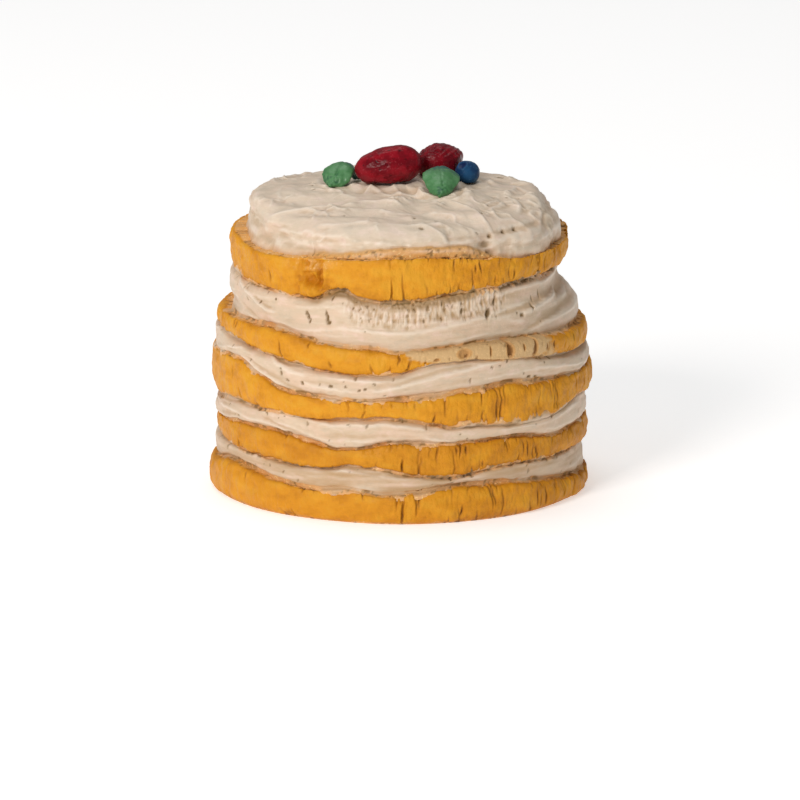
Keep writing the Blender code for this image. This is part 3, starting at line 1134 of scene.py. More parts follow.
    def _wash(self, sheet: Sheet) -> None:
        """Wipes a thin film of cream over part of the side, torn open where the crepe shows dark.

        Args:
            sheet: The crepe's surface.
        """
        first, last = self.washed
        arc = turned(sheet.degrees - first)[:, None]
        torn = sheet.rough(self.seed + 31, (6.0, 6.0, 4.0))
        span = last - first
        slant = 14.0 * (self.share - 0.4)
        film = eased(-1.2, 0.8, arc + slant + 6.0 * torn) * eased(span + 4.0, span - 2.0, arc + 9.0 * torn)
        sheet.relief *= 1.0 - 0.8 * film
        sheet.relief += film * (0.35 + 0.22 * sheet.rough(self.seed + 32, (9.0, 9.0, 1.3)))
        for name in ("crack", "hollow", "rim"):
            sheet.marks[name] = sheet.marks[name] * (1.0 - 0.9 * film)
        sheet.mark("wash", 0.95 * film * eased(-0.8, -0.55, torn))
        creases = sheet.rough(self.seed + 33, (2.4, 2.4, 5.0))
        sheet.relief -= 0.35 * film * eased(-0.3, -0.5, creases)
        sheet.mark("crack", 0.5 * film * eased(-0.36, -0.52, creases))
        wide = [replace(s, width=1.7 * s.width, tall=1.1 * s.tall, depth=0.0, dark=0.9) for s in self.slots]
        self.pits(sheet, wide, "hollow")
        for spot in wide:
            columns = sheet.near(spot.degrees, 0.5 * spot.width)
            sheet.marks["wash"][columns] *= 1.0 - 0.5 * sheet.marks["hollow"][columns]
        self.pits(sheet, self.slots, "crack")


@dataclass
class CreamFilling(StackLayer):
    """A filling spread in long passes, which runs on over the crepes beside it as a ragged film."""

    below: SideShape = None
    above: SideShape = None
    passes: int = 16
    trough: float = 0.55
    knife_limit: float = 14.0
    pores: int = 45
    film: float = 0.4
    film_reach: float = 3.8
    film_rows: int = 6
    film_step: float = 50.0
    overlap: float = 0.30
    # How much painted shade darkens the whole filling, most on the lowest one.
    tone: float = 0.0
    blush: float = 0.08
    front: list[SidePass] = field(default_factory=list)
    swells: list[Pit] = field(default_factory=list)
    holes: list[Pit] = field(default_factory=list)
    scratched: tuple[float, float, float] = (0.0, 0.0, 0.0)
    shadowed: tuple[float, float, float] = (0.0, 0.0, 0.0)
    crumbed: tuple[float, float, float] = (0.0, 0.0, 0.0)
    waves: tuple[Roughness, ...] = (Roughness(0.7, (22.0, 22.0, 8.0), 3),)
    roughness: tuple[Roughness, ...] = (
        Roughness(0.10, (9.0, 9.0, 1.3), 2, 5),
        Roughness(0.08, (2.4, 2.4, 2.0), 2, 6),
    )

    def build(self, material: bpy.types.Material) -> None:
        """Builds the filling.

        Args:
            material: The cream's paint.
        """
        sheet = self._wide_sheet()
        sheet.roughen(self.seed, self.waves)
        self._spread(sheet)
        if self.scratched[2]:
            self._scratch(sheet)
        sheet.roughen(self.seed, self.roughness)
        self.pits(sheet, self.swells, "ridge")
        sheet.show_relief(0.55, 0.05, 0.28)
        self._tint(sheet)
        self._run_over(sheet)
        self.pits(sheet, self._pores() + self.holes, "pore")
        self.finish(sheet, Slot.CREAM, material)

    def _wide_sheet(self) -> Sheet:
        """Joins the filling's side to the edges of the crepes beside it, which its film follows.

        Returns:
            The surface, without relief.
        """
        tail = np.linspace(1.0 - self.overlap, 1.0, self.film_rows + 1)[:-1]
        low, high = self.below.at(self.degrees, tail), self.above.at(self.degrees, 1.0 - tail[::-1])
        side = np.concatenate([low, self.own_side(), high], axis=1)
        steps = np.linalg.norm(np.diff(side, axis=1), axis=2)
        travel = np.concatenate([np.zeros((self.columns, 1)), np.cumsum(steps, axis=1)], axis=1)
        first, last = self.film_rows, self.film_rows + self.rows - 1
        self.beyond_low = travel[:, first : first + 1] - travel
        self.beyond_high = travel - travel[:, last : last + 1]
        return Sheet(round_grid(self.degrees, side[..., 0], side[..., 1]), self.degrees)

    def _spread(self, sheet: Sheet) -> None:
        """Presses the knife's passes, one over the other, and last those seen at the front.

        Args:
            sheet: The filling's surface.
        """
        draw = self.random
        low, tall = self.extent()
        height = min(self.knife_limit, float(tall.mean()))
        for _ in range(self.passes):
            knife = Smear(
                length=draw.uniform(50.0, 150.0),
                width=draw.uniform(0.45, 0.95) * height,
                trough=self.trough * draw.uniform(0.4, 1.3),
                ridge=draw.uniform(0.12, 0.4),
                tilt=draw.uniform(-0.5, 0.5),
            )
            slope, bow = draw.normal(0.0, 0.06), draw.normal(0.0, 0.0006)
            degrees, share = draw.uniform(-180.0, 180.0), draw.uniform(0.05, 0.95)
            SidePass(degrees, share, slope, knife, bow).press(sheet, low, tall)
        for side_pass in self.front:
            side_pass.press(sheet, low, tall)

    def _tint(self, sheet: Sheet) -> None:
        """Tans the cream in streaks towards its lower seam, darkens the whole filling by its own amount of
        painted shade, and paints shade in streaks under the crepe above, with a stronger painted shadow where
        the filling lies in that crepe's shadow.

        Args:
            sheet: The filling's surface.
        """
        streaks = 0.5 + 0.8 * sheet.rough(self.seed + 70, (16.0, 16.0, 2.0))
        # tan towards the lower seam, and painted shade over the whole filling
        sheet.mark("shade", (0.75 * eased(-3.2, 0.0, self.beyond_low) + self.tone) * streaks)
        # painted shade under the crepe above
        sheet.mark("shade", 0.85 * eased(-2.6, 0.0, self.beyond_high) * streaks)
        sheet.mark("thin", 0.5 * eased(-1.8, 0.2, self.beyond_low) * streaks)
        sheet.mark("thin", np.full(sheet.relief.shape, self.blush))
        if self.shadowed[2]:
            # painted shadow of the crepe above, in tan and in the pore colour, a little darker at the notch
            dark = eased(-self.shadowed[2], -0.4 * self.shadowed[2], self.beyond_high) * (0.5 + streaks)
            notch = 0.12 * hump(sheet.arc(NOTCH_ANGLE) / 8.0)[:, None]
            sheet.mark("shade", 0.95 * self._under(sheet) * dark)
            sheet.mark("pore", (0.36 + notch) * self._under(sheet) * dark)
        if self.crumbed[2]:
            self._crumb(sheet)

    def _crumb(self, sheet: Sheet) -> None:
        """Roughens the cream under the upper seam into brown and yellow crumbs, between two angles.

        Args:
            sheet: The filling's surface.
        """
        left, right, reach = self.crumbed
        place = between(left, right, 5.0, turned(sheet.degrees)[:, None])
        crumbs = sheet.rough(self.seed + 75, (2.0, 2.0, 1.6), 2)
        place = place * eased(-reach, -0.4 * reach, self.beyond_high + 1.2 * crumbs)
        sheet.relief += place * (0.9 * crumbs - 0.1)
        sheet.mark("pore", 0.85 * place * eased(-0.05, -0.35, crumbs))
        sheet.mark("thin", 0.7 * place * eased(0.0, 0.3, crumbs))

    def _under(self, sheet: Sheet) -> Array:
        """Where the filling lies bare in the shadow of the crepe above.

        Args:
            sheet: The filling's surface.

        Returns:
            A share from 0 to 1 for each column.
        """
        left, right, reach = self.shadowed
        if not reach:
            return np.zeros((self.columns, 1))
        return between(left, right, 6.0, turned(sheet.degrees)[:, None])

    def _scratch(self, sheet: Sheet) -> None:
        """Drags fine upright scratches into the upper part of the side at the front, with painted shade in
        their grooves and painted highlights on their ridges.

        Args:
            sheet: The filling's surface.
        """
        left, right, low_share = self.scratched
        low, tall = self.extent()
        share = (sheet.base[..., 2] - low) / tall
        arc = turned(sheet.degrees - left)[:, None]
        span = right - left
        place = eased(-2.0, 6.0, arc) * eased(span + 4.0, span - 4.0, arc)
        ragged = 0.16 * Grain(self.seed + 40).rough(sheet.ring, (5.0,) * 3)[:, None]
        place = place * eased(low_share - 0.12, low_share + 0.06, share + ragged) * eased(1.02, 0.92, share)
        comb = sheet.rough(self.seed + 41, (1.1, 1.1, 9.0), 2)
        broken = sheet.rough(self.seed + 42, (1.5, 1.5, 2.6))
        sheet.relief += place * (0.38 * comb + 0.42 * broken - 0.35)
        # painted shade in the grooves
        sheet.mark("shade", 0.45 * place * eased(0.0, -0.4, comb))
        # painted highlight on the ridges between the scratches
        sheet.mark("ridge", 0.7 * place * eased(0.15, 0.45, comb + 0.5 * broken))
        sheet.mark("pore", 0.6 * place * eased(-0.40, -0.55, broken))

    def _run_over(self, sheet: Sheet) -> None:
        """Lets the cream run on past its seams as a thin ragged film, tinted where it thins out.

        Args:
            sheet: The filling's surface.
        """
        for number, beyond in enumerate((self.beyond_low, self.beyond_high)):
            ring = ring_points(sheet.degrees, SEAM_RADIUS, self.film_step * number)
            spread = Grain(self.seed + 60).rough(ring, (15.0,) * 3, 5)
            jagged = 1.0 + 0.8 * Grain(self.seed + 61 + 7 * number).rough(ring, (2.6,) * 3, 2)
            reach = (self.film_reach * eased(-0.30, 0.65, spread) * jagged)[:, None] + 0.15
            if number:
                reach = reach * (1.0 - 0.9 * self._under(sheet))
            outside = beyond > 0.0
            film = np.clip(self.film * (1.0 - beyond / reach), -2.4, self.film)
            kept = np.exp(-np.maximum(beyond, 0.0) / 1.2)
            sheet.relief = np.where(outside, sheet.relief * kept + film - self.film * kept, sheet.relief)
            edge = beyond - reach
            ragged = sheet.rough(self.seed + 62 + number, (4.0,) * 3, 2)
            sheet.mark("thin", 0.85 * eased(-1.5, -0.1, edge + 0.8 * ragged))
            broken = eased(-0.6, 0.1, Grain(self.seed + 64 + number).at(ring, (8.0,) * 3))[:, None]
            dotted = eased(-0.15, 0.15, sheet.rough(self.seed + 66 + number, (1.7, 1.7, 1.5), 2))
            sheet.mark("pore", 0.85 * hump((edge + 0.55) / 0.65) * broken * dotted)

    def _pores(self) -> list[Pit]:
        """Draws small pores, mostly near the upper edge.

        Returns:
            The pores.
        """
        draw = self.random
        spots = []
        for _ in range(self.pores):
            share = draw.uniform(0.75, 0.98) if draw.random() < 0.6 else draw.uniform(0.1, 0.75)
            width = draw.uniform(0.5, 1.3)
            degrees, tall = draw.uniform(-180.0, 180.0), width * draw.uniform(0.8, 2.4)
            lean = draw.normal(0.0, 1.0)
            spots.append(Pit(degrees, share, width, tall, 0.5, draw.uniform(0.4, 0.95), lean))
        return spots


@dataclass(frozen=True)
class TopPass:
    """A pass of the knife over the top, from one place to another in plan, bowed to its left."""

    start: tuple[float, float]
    end: tuple[float, float]
    bow: float
    knife: Smear

    def press(self, sheet: Sheet) -> None:
        """Presses this pass into the top, along the circle through its ends.

        Args:
            sheet: The top's surface.
        """
        start, end = np.array(self.start), np.array(self.end)
        chord = float(np.linalg.norm(end - start))
        forward = (end - start) / chord
        left = np.array([-forward[1], forward[0]])
        radius = (chord**2 / 4.0 + self.bow**2) / (2.0 * self.bow)
        middle = (start + end) / 2.0 + left * (self.bow - radius)
        x, y = sheet.base[..., 0] - middle[0], sheet.base[..., 1] - middle[1]
        heading = math.atan2(left[1] * radius, left[0] * radius)
        turn = np.radians(turned(np.degrees(np.arctan2(y, x) - heading)))
        across = (np.hypot(x, y) - abs(radius)) * math.copysign(1.0, radius)
        pressed = self.knife.press(sheet.relief, turn * abs(radius), across)
        sheet.relief += (pressed - sheet.relief) * eased(0.15, 0.6, sheet.normals[..., 2])


@dataclass(frozen=True)
class TopSwell:
    """A rounded mound or hollow on the top, in plan."""

    middle: tuple[float, float]
    size: tuple[float, float]
    height: float

    def press(self, sheet: Sheet) -> None:
        """Raises the top.

        Args:
            sheet: The top's surface.
        """
        x = (sheet.base[..., 0] - self.middle[0]) / self.size[0]
        y = (sheet.base[..., 1] - self.middle[1]) / self.size[1]
        sheet.relief += self.height * hump(np.hypot(x, y))


@dataclass(frozen=True)
class Collar:
    """Cream pushed up round a fruit or leaf, whose outline in plan is an ellipse with half sizes."""

    middle: tuple[float, float]
    size: tuple[float, float]
    heading: float
    height: float
    width: float = 3.2

    def _beyond(self, points: Array) -> Array:
        """Roughly how far points lie outside the outline.

        Args:
            points: Points in millimetres.

        Returns:
            Millimetres for each point, below 0 inside.
        """
        turn = math.radians(self.heading)
        x, y = points[..., 0] - self.middle[0], points[..., 1] - self.middle[1]
        along = (x * math.cos(turn) + y * math.sin(turn)) / self.size[0]
        across = (y * math.cos(turn) - x * math.sin(turn)) / self.size[1]
        return (np.hypot(along, across) - 1.0) * min(self.size)

    def raised(self, points: Array) -> Array:
        """How far the cream is pushed up."""
        return self.height * hump((self._beyond(points) - 0.3) / self.width)

    def about(self, points: Array) -> Array:
        """Where the cream is crumpled, from 0 to 1."""
        beyond = self._beyond(points)
        return eased(-1.0, 1.0, beyond) * eased(9.0, 3.0, beyond)


@dataclass(frozen=True)
class EdgeSwell:
    """A swelling or hollow in the top's rim, at an angle and a distance up from the foot."""

    degrees: float
    spread: float
    rise: float
    reach: float
    height: float
    dark: float = 0.0

    def press(self, sheet: Sheet, travel: Array) -> None:
        """Raises the rim.

        Args:
            sheet: The top's surface.
            travel: How far each row lies up from the foot.
        """
        around = hump(turned(sheet.degrees - self.degrees) / self.spread)[:, None]
        swelling = around * hump((travel - self.rise) / self.reach)
        sheet.relief += self.height * swelling
        sheet.mark("pore", self.dark * eased(0.3, 0.8, swelling))


@dataclass
class SpreadTop:
    """The cream spread over the top: wiped in overlapping passes, with a steep lumpy edge."""

    node: str = "cream_top"
    columns: int = 760
    rows: int = 112
    seed: int = 91
    random_passes: int = 34
    pores: int = 46
    busy_angle: float = 46.0
    foot_drop: float = 1.3
    front: list[Union[TopPass, TopSwell]] = field(default_factory=list)
    fruit: list[Collar] = field(default_factory=list)
    waves: tuple[Roughness, ...] = (Roughness(1.1, (16.0, 16.0, 12.0), 2),)
    roughness: tuple[Roughness, ...] = (
        Roughness(0.45, (7.5, 7.5, 6.0), 3, 9),
        Roughness(0.10, (3.4, 3.4, 2.4), 2, 8),
    )
    rim: tuple[EdgeSwell, ...] = (
        EdgeSwell(-88.0, 32.0, 6.5, 7.0, -4.4),
        EdgeSwell(-104.0, 26.0, 21.0, 7.0, 1.6),
        EdgeSwell(88.0, 28.0, 12.0, 6.5, -2.8),
        EdgeSwell(126.0, 20.0, 24.0, 9.0, -1.0),
        EdgeSwell(51.0, 12.0, 4.0, 6.5, 3.4),
        EdgeSwell(33.5, 3.5, 3.5, 4.0, -1.6),
        EdgeSwell(47.0, 11.0, 10.5, 1.5, -1.3),
        EdgeSwell(33.0, 2.0, 5.2, 1.6, -1.4, 0.55),
        EdgeSwell(34.6, 1.6, 2.0, 1.3, -1.2, 0.55),
        EdgeSwell(35.5, 0.9, 9.5, 1.2, -1.5, 0.95),
        EdgeSwell(42.5, 0.8, 11.0, 1.2, -1.3, 0.95),
        EdgeSwell(48.0, 0.8, 11.0, 1.2, -1.3, 0.9),
        EdgeSwell(80.0, 7.0, 4.0, 5.0, 1.8),
    )
    ledge: tuple[tuple[float, float], ...] = (
        (-110.0, 0.0), (-56.0, 0.0), (-40.0, 0.8), (-24.0, 1.8), (-8.0, 3.4), (4.0, 4.6), (24.0, 4.6),
        (34.0, 1.0), (66.0, 0.0), (100.0, 0.0), (140.0, 1.0), (180.0, 2.6), (220.0, 1.5),
    )

    def build(self, material: bpy.types.Material) -> None:
        """Builds the top.

        Args:
            material: The cream's paint.
        """
        self.random = np.random.default_rng(self.seed)
        sheet = self._smooth_sheet()
        sheet.roughen(self.seed, self.waves)
        for shape in self._random_passes() + self.front:
            shape.press(sheet)
        self._edge(sheet)
        self._crumple(sheet)
        self._crease(sheet)
        sheet.show_relief(0.4, 0.06, 0.3)
        # painted light: paler where the top faces up
        sheet.mark("white", 0.7 * eased(0.3, 0.8, sheet.normals[..., 2]))
        self._pore(sheet)
        self._foot(sheet)
        piece = sheet.mesh_object(self.node + LOOKS, float(sheet.base[:, 0, 2].mean()), self.crown)
        dress(piece, self.node, material)

    def _smooth_sheet(self) -> Sheet:
        """Lays the top's surface from its foot to the middle.

        Returns:
            The surface, without relief.
        """
        side = SolidColumns(self.node).side(top_corners)
        self.crown = float(side[:, -1, 1].mean())
        middle = np.broadcast_to(np.array([0.6, self.crown]), (len(side), 1, 2))
        side = np.concatenate([side, middle], axis=1)
        degrees = np.arange(self.columns) * FULL_TURN / self.columns
        fine = along_curve(side, degrees / FULL_TURN * len(side), closed=True)
        steps = np.linalg.norm(np.diff(side, axis=1), axis=2).mean(axis=0)
        reach = np.concatenate([[0.0], np.cumsum(steps)])
        places = np.interp(np.linspace(0.0, reach[-1], self.rows), reach, np.arange(len(reach)))
        fine = along_curve(fine.transpose(1, 0, 2), places, closed=False).transpose(1, 0, 2)
        self.travel = np.linspace(0.0, reach[-1], self.rows)[None, :]
        seams = SideShape.seams
        fine[..., 1] += seams.shift(seams.filled, degrees)[:, None] * eased(5.0, 0.0, self.travel)
        lobe = 2.0 * hump(turned(degrees - 52.0) / 13.0)
        fine[..., 1] -= (self.foot_drop + lobe)[:, None] * eased(4.0, 0.0, self.travel)
        return Sheet(round_grid(degrees, fine[..., 0], fine[..., 1]), degrees)

    def _random_passes(self) -> list[TopPass]:
        """Draws passes all over the top.

        Returns:
            The passes.
        """
        draw = self.random
        passes = []
        for _ in range(self.random_passes):
            turn, out = draw.uniform(0.0, 2 * math.pi), draw.uniform(16.0, 64.0)
            heading, half = turn + math.pi / 2 + draw.normal(0.0, 0.7), draw.uniform(10.0, 24.0)
            place = np.array([out * math.cos(turn), out * math.sin(turn)])
            way = half * np.array([math.cos(heading), math.sin(heading)])
            tilt = draw.choice([-1.0, 1.0]) * draw.uniform(0.3, 0.9)
            width, trough, ridge = draw.uniform(9.0, 19.0), draw.uniform(0.2, 0.9), draw.uniform(0.2, 0.6)
            bow = draw.choice([-1.0, 1.0]) * draw.uniform(1.5, 7.0)
            knife = Smear(2.2 * half, width, trough, ridge, tilt, 0.85)
            passes.append(TopPass(tuple(place - way), tuple(place + way), bow, knife))
        return passes

    def _crease(self, sheet: Sheet) -> None:
        """Creases the cream where it was worked over, with soft ribs at the angle where it is busiest.

        Args:
            sheet: The top's surface.
        """
        worked = eased(-0.2, 0.5, sheet.rough(self.seed + 6, (13.0, 13.0, 9.0), 2))
        creases = folded(sheet.rough(self.seed + 7, (9.0, 11.0, 7.0)))
        sheet.relief += worked * (0.8 * creases**5 + 0.22 * sheet.rough(self.seed + 5, (2.6, 2.6, 2.6)))
        sheet.roughen(self.seed, self.roughness)
        busy = hump(turned(sheet.degrees - self.busy_angle) / 34.0)[:, None] * eased(3.0, 9.0, self.travel)
        busy = busy * eased(66.0, 46.0, self.travel)
        ribs = folded(sheet.rough(self.seed + 10, (17.0, 17.0, 12.0), 2))
        sheet.relief += busy * (0.9 * ribs**3 - 0.2)

    def _crumple(self, sheet: Sheet) -> None:
        """Pushes the cream up round the fruit, in soft folds.

        Args:
            sheet: The top's surface.
        """
        folds = folded(sheet.rough(self.seed + 31, (11.0, 12.0, 9.0), 2))
        near = np.zeros(sheet.relief.shape)
        for collar in self.fruit:
            sheet.relief += collar.raised(sheet.base) * (0.85 + 0.15 * folds)
            near = np.maximum(near, collar.about(sheet.base))
        sheet.relief += near * (0.9 * folds**3 - 0.3)

    def _edge(self, sheet: Sheet) -> None:
        """Makes the steep edge lumpy, with horizontal wipes, swellings and a ragged foot.

        Args:
            sheet: The top's surface.
        """
        steep = eased(0.85, 0.35, sheet.normals[..., 2])
        lumps = sheet.rough(self.seed + 71, (12.0, 12.0, 6.0))
        wipes = sheet.rough(self.seed + 72, (15.0, 15.0, 2.6), 2)
        sheet.relief += steep * (1.2 * lumps + 0.5 * wipes)
        for swell in self.rim:
            swell.press(sheet, self.travel)
        ragged = Grain(self.seed + 73).rough(sheet.ring, (6.0,) * 3)[:, None]
        sheet.relief += eased(3.0, 0.0, self.travel) * ragged

    def _foot(self, sheet: Sheet) -> None:
        """Lets a thin ledge stand out under the cream, peach with yellow flecks and brown pores.

        Args:
            sheet: The top's surface.
        """
        angles, heights = np.array(self.ledge).T
        places = np.concatenate([angles - FULL_TURN, angles, angles + FULL_TURN])
        tall = np.interp(turned(sheet.degrees), places, np.tile(heights, 3))
        there = eased(0.3, 1.6, tall)[:, None]
        tall = np.maximum(tall + 1.1 * Grain(self.seed + 81).rough(sheet.ring, (7.0,) * 3, 4), 0.3)[:, None]
        ledge = there * eased(0.35, -0.35, self.travel - tall)
        crumbs = sheet.rough(self.seed + 82, (1.5, 1.5, 1.0), 2)
        sheet.relief += ledge * (1.7 + 0.8 * crumbs - 0.8 * sheet.relief)
        sheet.relief -= 0.35 * there * hump((self.travel - tall - 0.5) / 0.6)
        streaks = 0.8 + 0.5 * sheet.rough(self.seed + 83, (9.0, 9.0, 1.4), 2)
        sheet.mark("thin", 0.9 * ledge * streaks)
        sheet.mark("thin", 0.7 * eased(3.2, 0.4, self.travel) * streaks)
        sheet.mark("gilt", 0.6 * ledge * streaks * eased(0.75, 0.35, self.travel / tall))
        sheet.mark("gilt", 0.7 * there * hump((self.travel - tall - 0.1) / 0.7))
        sheet.mark("shade", 0.35 * hump((self.travel - tall - 0.3) / 0.8))
        sheet.mark("pore", 0.75 * ledge * eased(-0.24, -0.44, crumbs))

    def _pore(self, sheet: Sheet) -> None:
        """Opens a few pores, more of them round the edge.

        Args:
            sheet: The top's surface.
        """
        draw = self.random
        x, y = sheet.base[..., 0], sheet.base[..., 1]
        for _ in range(self.pores):
            turn, out = draw.uniform(0.0, 2 * math.pi), 72.0 * math.sqrt(draw.uniform(0.3, 1.0))
            size, lean = draw.uniform(0.5, 1.0), draw.uniform(0.0, math.pi)
            dx, dy = x - out * math.cos(turn), y - out * math.sin(turn)
            along = dx * math.cos(lean) + dy * math.sin(lean)
            across = dy * math.cos(lean) - dx * math.sin(lean)
            hole = hump(np.hypot(along / (1.8 * size), across / size))
            sheet.relief -= 0.5 * hole
            sheet.mark("pore", draw.uniform(0.5, 0.95) * eased(0.3, 0.8, hole))


class Lump(Surface):
    """A small solid remeshed evenly over a packed one."""

    def __init__(self, node: str, cell: float, smooth: int) -> None:
        """Remeshes the node.

        Args:
            node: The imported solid.
            cell: The size of the new facets.
            smooth: How often the new surface is smoothed.
        """
        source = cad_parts[node]
        copy = bpy.data.objects.new(node + "_work", source.data.copy())
        bpy.context.scene.collection.objects.link(copy)
        weld = copy.modifiers.new("weld", "WELD")
        weld.merge_threshold = 0.01 * MM
        remesh = copy.modifiers.new("remesh", "REMESH")
        remesh.mode = "VOXEL"
        remesh.voxel_size = cell * MM
        smoothing = copy.modifiers.new("smooth", "SMOOTH")
        smoothing.iterations = smooth
        shaped = copy.evaluated_get(bpy.context.evaluated_depsgraph_get())
        mesh = bpy.data.meshes.new_from_object(shaped)
        flat = np.empty(len(mesh.vertices) * 3)
        mesh.vertices.foreach_get("co", flat)
        base = flat.reshape(-1, 3) / MM
        mesh.vertices.foreach_get("normal", flat)
        super().__init__(base, flat.reshape(-1, 3).copy())
        self.node = node
        self.faces = [tuple(face.vertices) for face in mesh.polygons]
        self.middle = (base.min(axis=0) + base.max(axis=0)) / 2.0
        self.half_height = float(base[:, 2].max() - base[:, 2].min()) / 2.0
        bpy.data.objects.remove(copy, do_unlink=True)
        bpy.data.meshes.remove(mesh)

    def finish(self, slot: Slot, material: bpy.types.Material) -> None:
        """Makes and dresses the mesh with its relief."""
        piece = linked_mesh(self.node + LOOKS, self.points(), self.faces, self.marks)
        dress(piece, self.node, material)


@dataclass
class Strawberry:
    """A moulded strawberry: dented, with dark seeds in shallow pits."""

    node: str
    heading: float
    seed: int
    cell: float = 0.4
    seeds: int = 54
    darkened: float = 0.0
    squash: float = 0.0

    def build(self, material: bpy.types.Material) -> None:
        """Builds the strawberry.

        Args:
            material: The strawberries' paint.
        """
        lump = Lump(self.node, self.cell, 6)
        draw = np.random.default_rng(self.seed)
        lump.relief += 0.8 * lump.rough(self.seed, (9.0, 9.0, 7.0), 2) - 0.1
        lump.relief += 0.24 * lump.rough(self.seed + 1, (2.4, 2.4, 2.4), 2)
        turn = math.radians(self.heading)
        long_way = np.array([math.cos(turn), math.sin(turn), 0.0])
        short_way = np.array([-math.sin(turn), math.cos(turn), 0.0])
        golden = math.pi * (3.0 - math.sqrt(5.0))
        for i in range(self.seeds):
            travel = 1.0 - 2.0 * (i + 0.5) / self.seeds
            ring = math.sqrt(1.0 - travel * travel)
            angle = golden * i + draw.normal(0.0, 0.2)
            way = travel * long_way + ring * math.cos(angle) * short_way
            way[2] += ring * math.sin(angle)
            away = lump.base - self._surface_point(lump, way)
            length, width = draw.uniform(0.6, 1.7), draw.uniform(0.3, 0.55)
            lean = long_way + draw.normal(0.0, 0.35, 3)
            lean /= np.linalg.norm(lean)
            along = away @ lean
            beside = np.sqrt(np.maximum((away * away).sum(axis=1) - along * along, 0.0))
            pit = hump(np.hypot(along / (1.4 * length), beside / (1.6 * width)))
            grain = hump(np.hypot(along / (0.9 * length), beside / (0.8 * width)))
            lump.relief -= draw.uniform(0.1, 0.45) * pit
            if draw.random() < 0.72:
                lump.mark("seed", draw.uniform(0.6, 1.0) * eased(0.35, 0.8, grain))
            else:
                lump.mark("bloom", 0.5 * eased(0.3, 0.7, grain))
        # painted reflection of the cream: paler towards the bottom, in patches
        rise = (lump.base[:, 2] - lump.middle[2]) / lump.half_height
        worn_and_reflected = eased(-0.3, 0.5, lump.rough(self.seed + 4, (6.0, 6.0, 4.0)))
        lump.mark("bloom", 0.3 * eased(0.15, -0.55, rise) * worn_and_reflected)
        lump.mark("seed", np.full(len(lump.base), self.darkened))
        dark = eased(0.25, 0.5, lump.rough(self.seed + 5, (5.0, 5.0, 4.0)))
        lump.mark("seed", 0.35 * dark * eased(-0.3, 0.3, rise))
        lump.relief += self.squash * (0.5 * np.abs(lump.normals[:, 0]) - eased(0.2, 0.9, lump.normals[:, 2]))
        lump.finish(Slot.STRAWBERRY, material)

    def _surface_point(self, lump: Lump, way: Array) -> Array:
        """Finds the surface's point in a direction from the middle.

        Args:
            lump: The berry's surface.
            way: The direction.

        Returns:
            The point, in millimetres.
        """
        unit = way / np.linalg.norm(way)
        offset = lump.base - lump.middle
        along = offset @ unit
        beside = np.linalg.norm(offset - along[:, None] * unit, axis=1)
        return lump.base[np.argmin(beside + (along < 0.0) * 100.0)]


@dataclass
class Blueberry:
    """A round berry with a small crown at its upper left."""

    node: str = "blueberry"
    seed: int = 131
    cell: float = 0.3
    crown_way: tuple[float, float, float] = (-0.45, -0.55, 0.70)

    def build(self, material: bpy.types.Material) -> None:
        """Builds the blueberry.

        Args:
            material: The blueberry's paint.
        """
        lump = Lump(self.node, self.cell, 6)
        offset = lump.base - lump.middle
        way = np.array(self.crown_way) / np.linalg.norm(self.crown_way)
        distance = np.linalg.norm(offset, axis=1)
        angle = np.degrees(np.arccos(np.clip(offset @ way / distance, -1.0, 1.0)))
        lump.relief += 0.22 * lump.rough(self.seed, (4.0, 4.0, 4.0), 2)
        scallop = 3.0 * Grain(self.seed + 1).at(lump.base, (2.4, 2.4, 2.4))
        lump.relief += 0.45 * hump((angle - 27.0 - scallop) / 7.0) - 0.6 * hump(angle / 19.0)
        lump.mark("seed", 0.85 * eased(26.0, 15.0, angle))
        lump.mark("bloom", 0.35 * eased(0.0, 0.5, lump.rough(self.seed + 2, (3.0, 3.0, 3.0))))
        lump.finish(Slot.BLUEBERRY, material)


@dataclass
class Leaf:
    """A thick moulded leaf with a crinkled tip and a dark stem end."""

    node: str
    seed: int
    stem: tuple[float, float, float]
    tip: tuple[float, float, float]
    cell: float = 0.35

    def build(self, material: bpy.types.Material) -> None:
        """Builds the leaf.

        Args:
            material: The leaves' paint.
        """
        lump = Lump(self.node, self.cell, 5)
        stem, tip = np.array(self.stem), np.array(self.tip)
        way = (tip - stem) / np.linalg.norm(tip - stem)
        run = (lump.base - stem) @ way / np.linalg.norm(tip - stem)
        across = (lump.base - stem) @ np.cross(way, (0.0, 0.0, 1.0))
        lump.relief += 0.3 + 0.6 * lump.rough(self.seed, (6.0, 6.0, 5.0), 2)
        crinkle = lump.rough(self.seed + 1, (1.7, 1.7, 1.7))
        tip_share = eased(0.62, 0.95, run)
        lump.relief += crinkle * (0.12 + 0.45 * tip_share)
        rib = hump((across - 0.8 * np.sin(5.0 * run) - 0.5 * crinkle) / 0.5) * eased(0.95, 0.8, run)
        lump.relief -= 0.3 * rib
        lump.mark("stem", 0.9 * eased(0.56, 0.36, run + 0.15 * crinkle))
        lump.mark("vein", 0.12 * rib + 0.8 * eased(0.2, 0.5, -crinkle) * tip_share)
        lump.finish(Slot.LEAF, material)


@dataclass(frozen=True)
class SoftLight:
    """A large soft lamp."""

    name: str
    place: tuple[float, float, float]
    size: float
    power: float
    colour: Colour

    def hang(self, target: Vector) -> None:
        """Hangs the lamp.

        Args:
            target: What it is turned to, in metres.
        """
        lamp = bpy.data.lights.new(self.name, "AREA")
        lamp.shape = "SQUARE"
        lamp.size = self.size
        lamp.energy = self.power
        lamp.color = self.colour
        holder = bpy.data.objects.new(self.name, lamp)
        holder.location = self.place
        holder.rotation_euler = (target - Vector(self.place)).to_track_quat("-Z", "Y").to_euler()
        bpy.context.scene.collection.objects.link(holder)


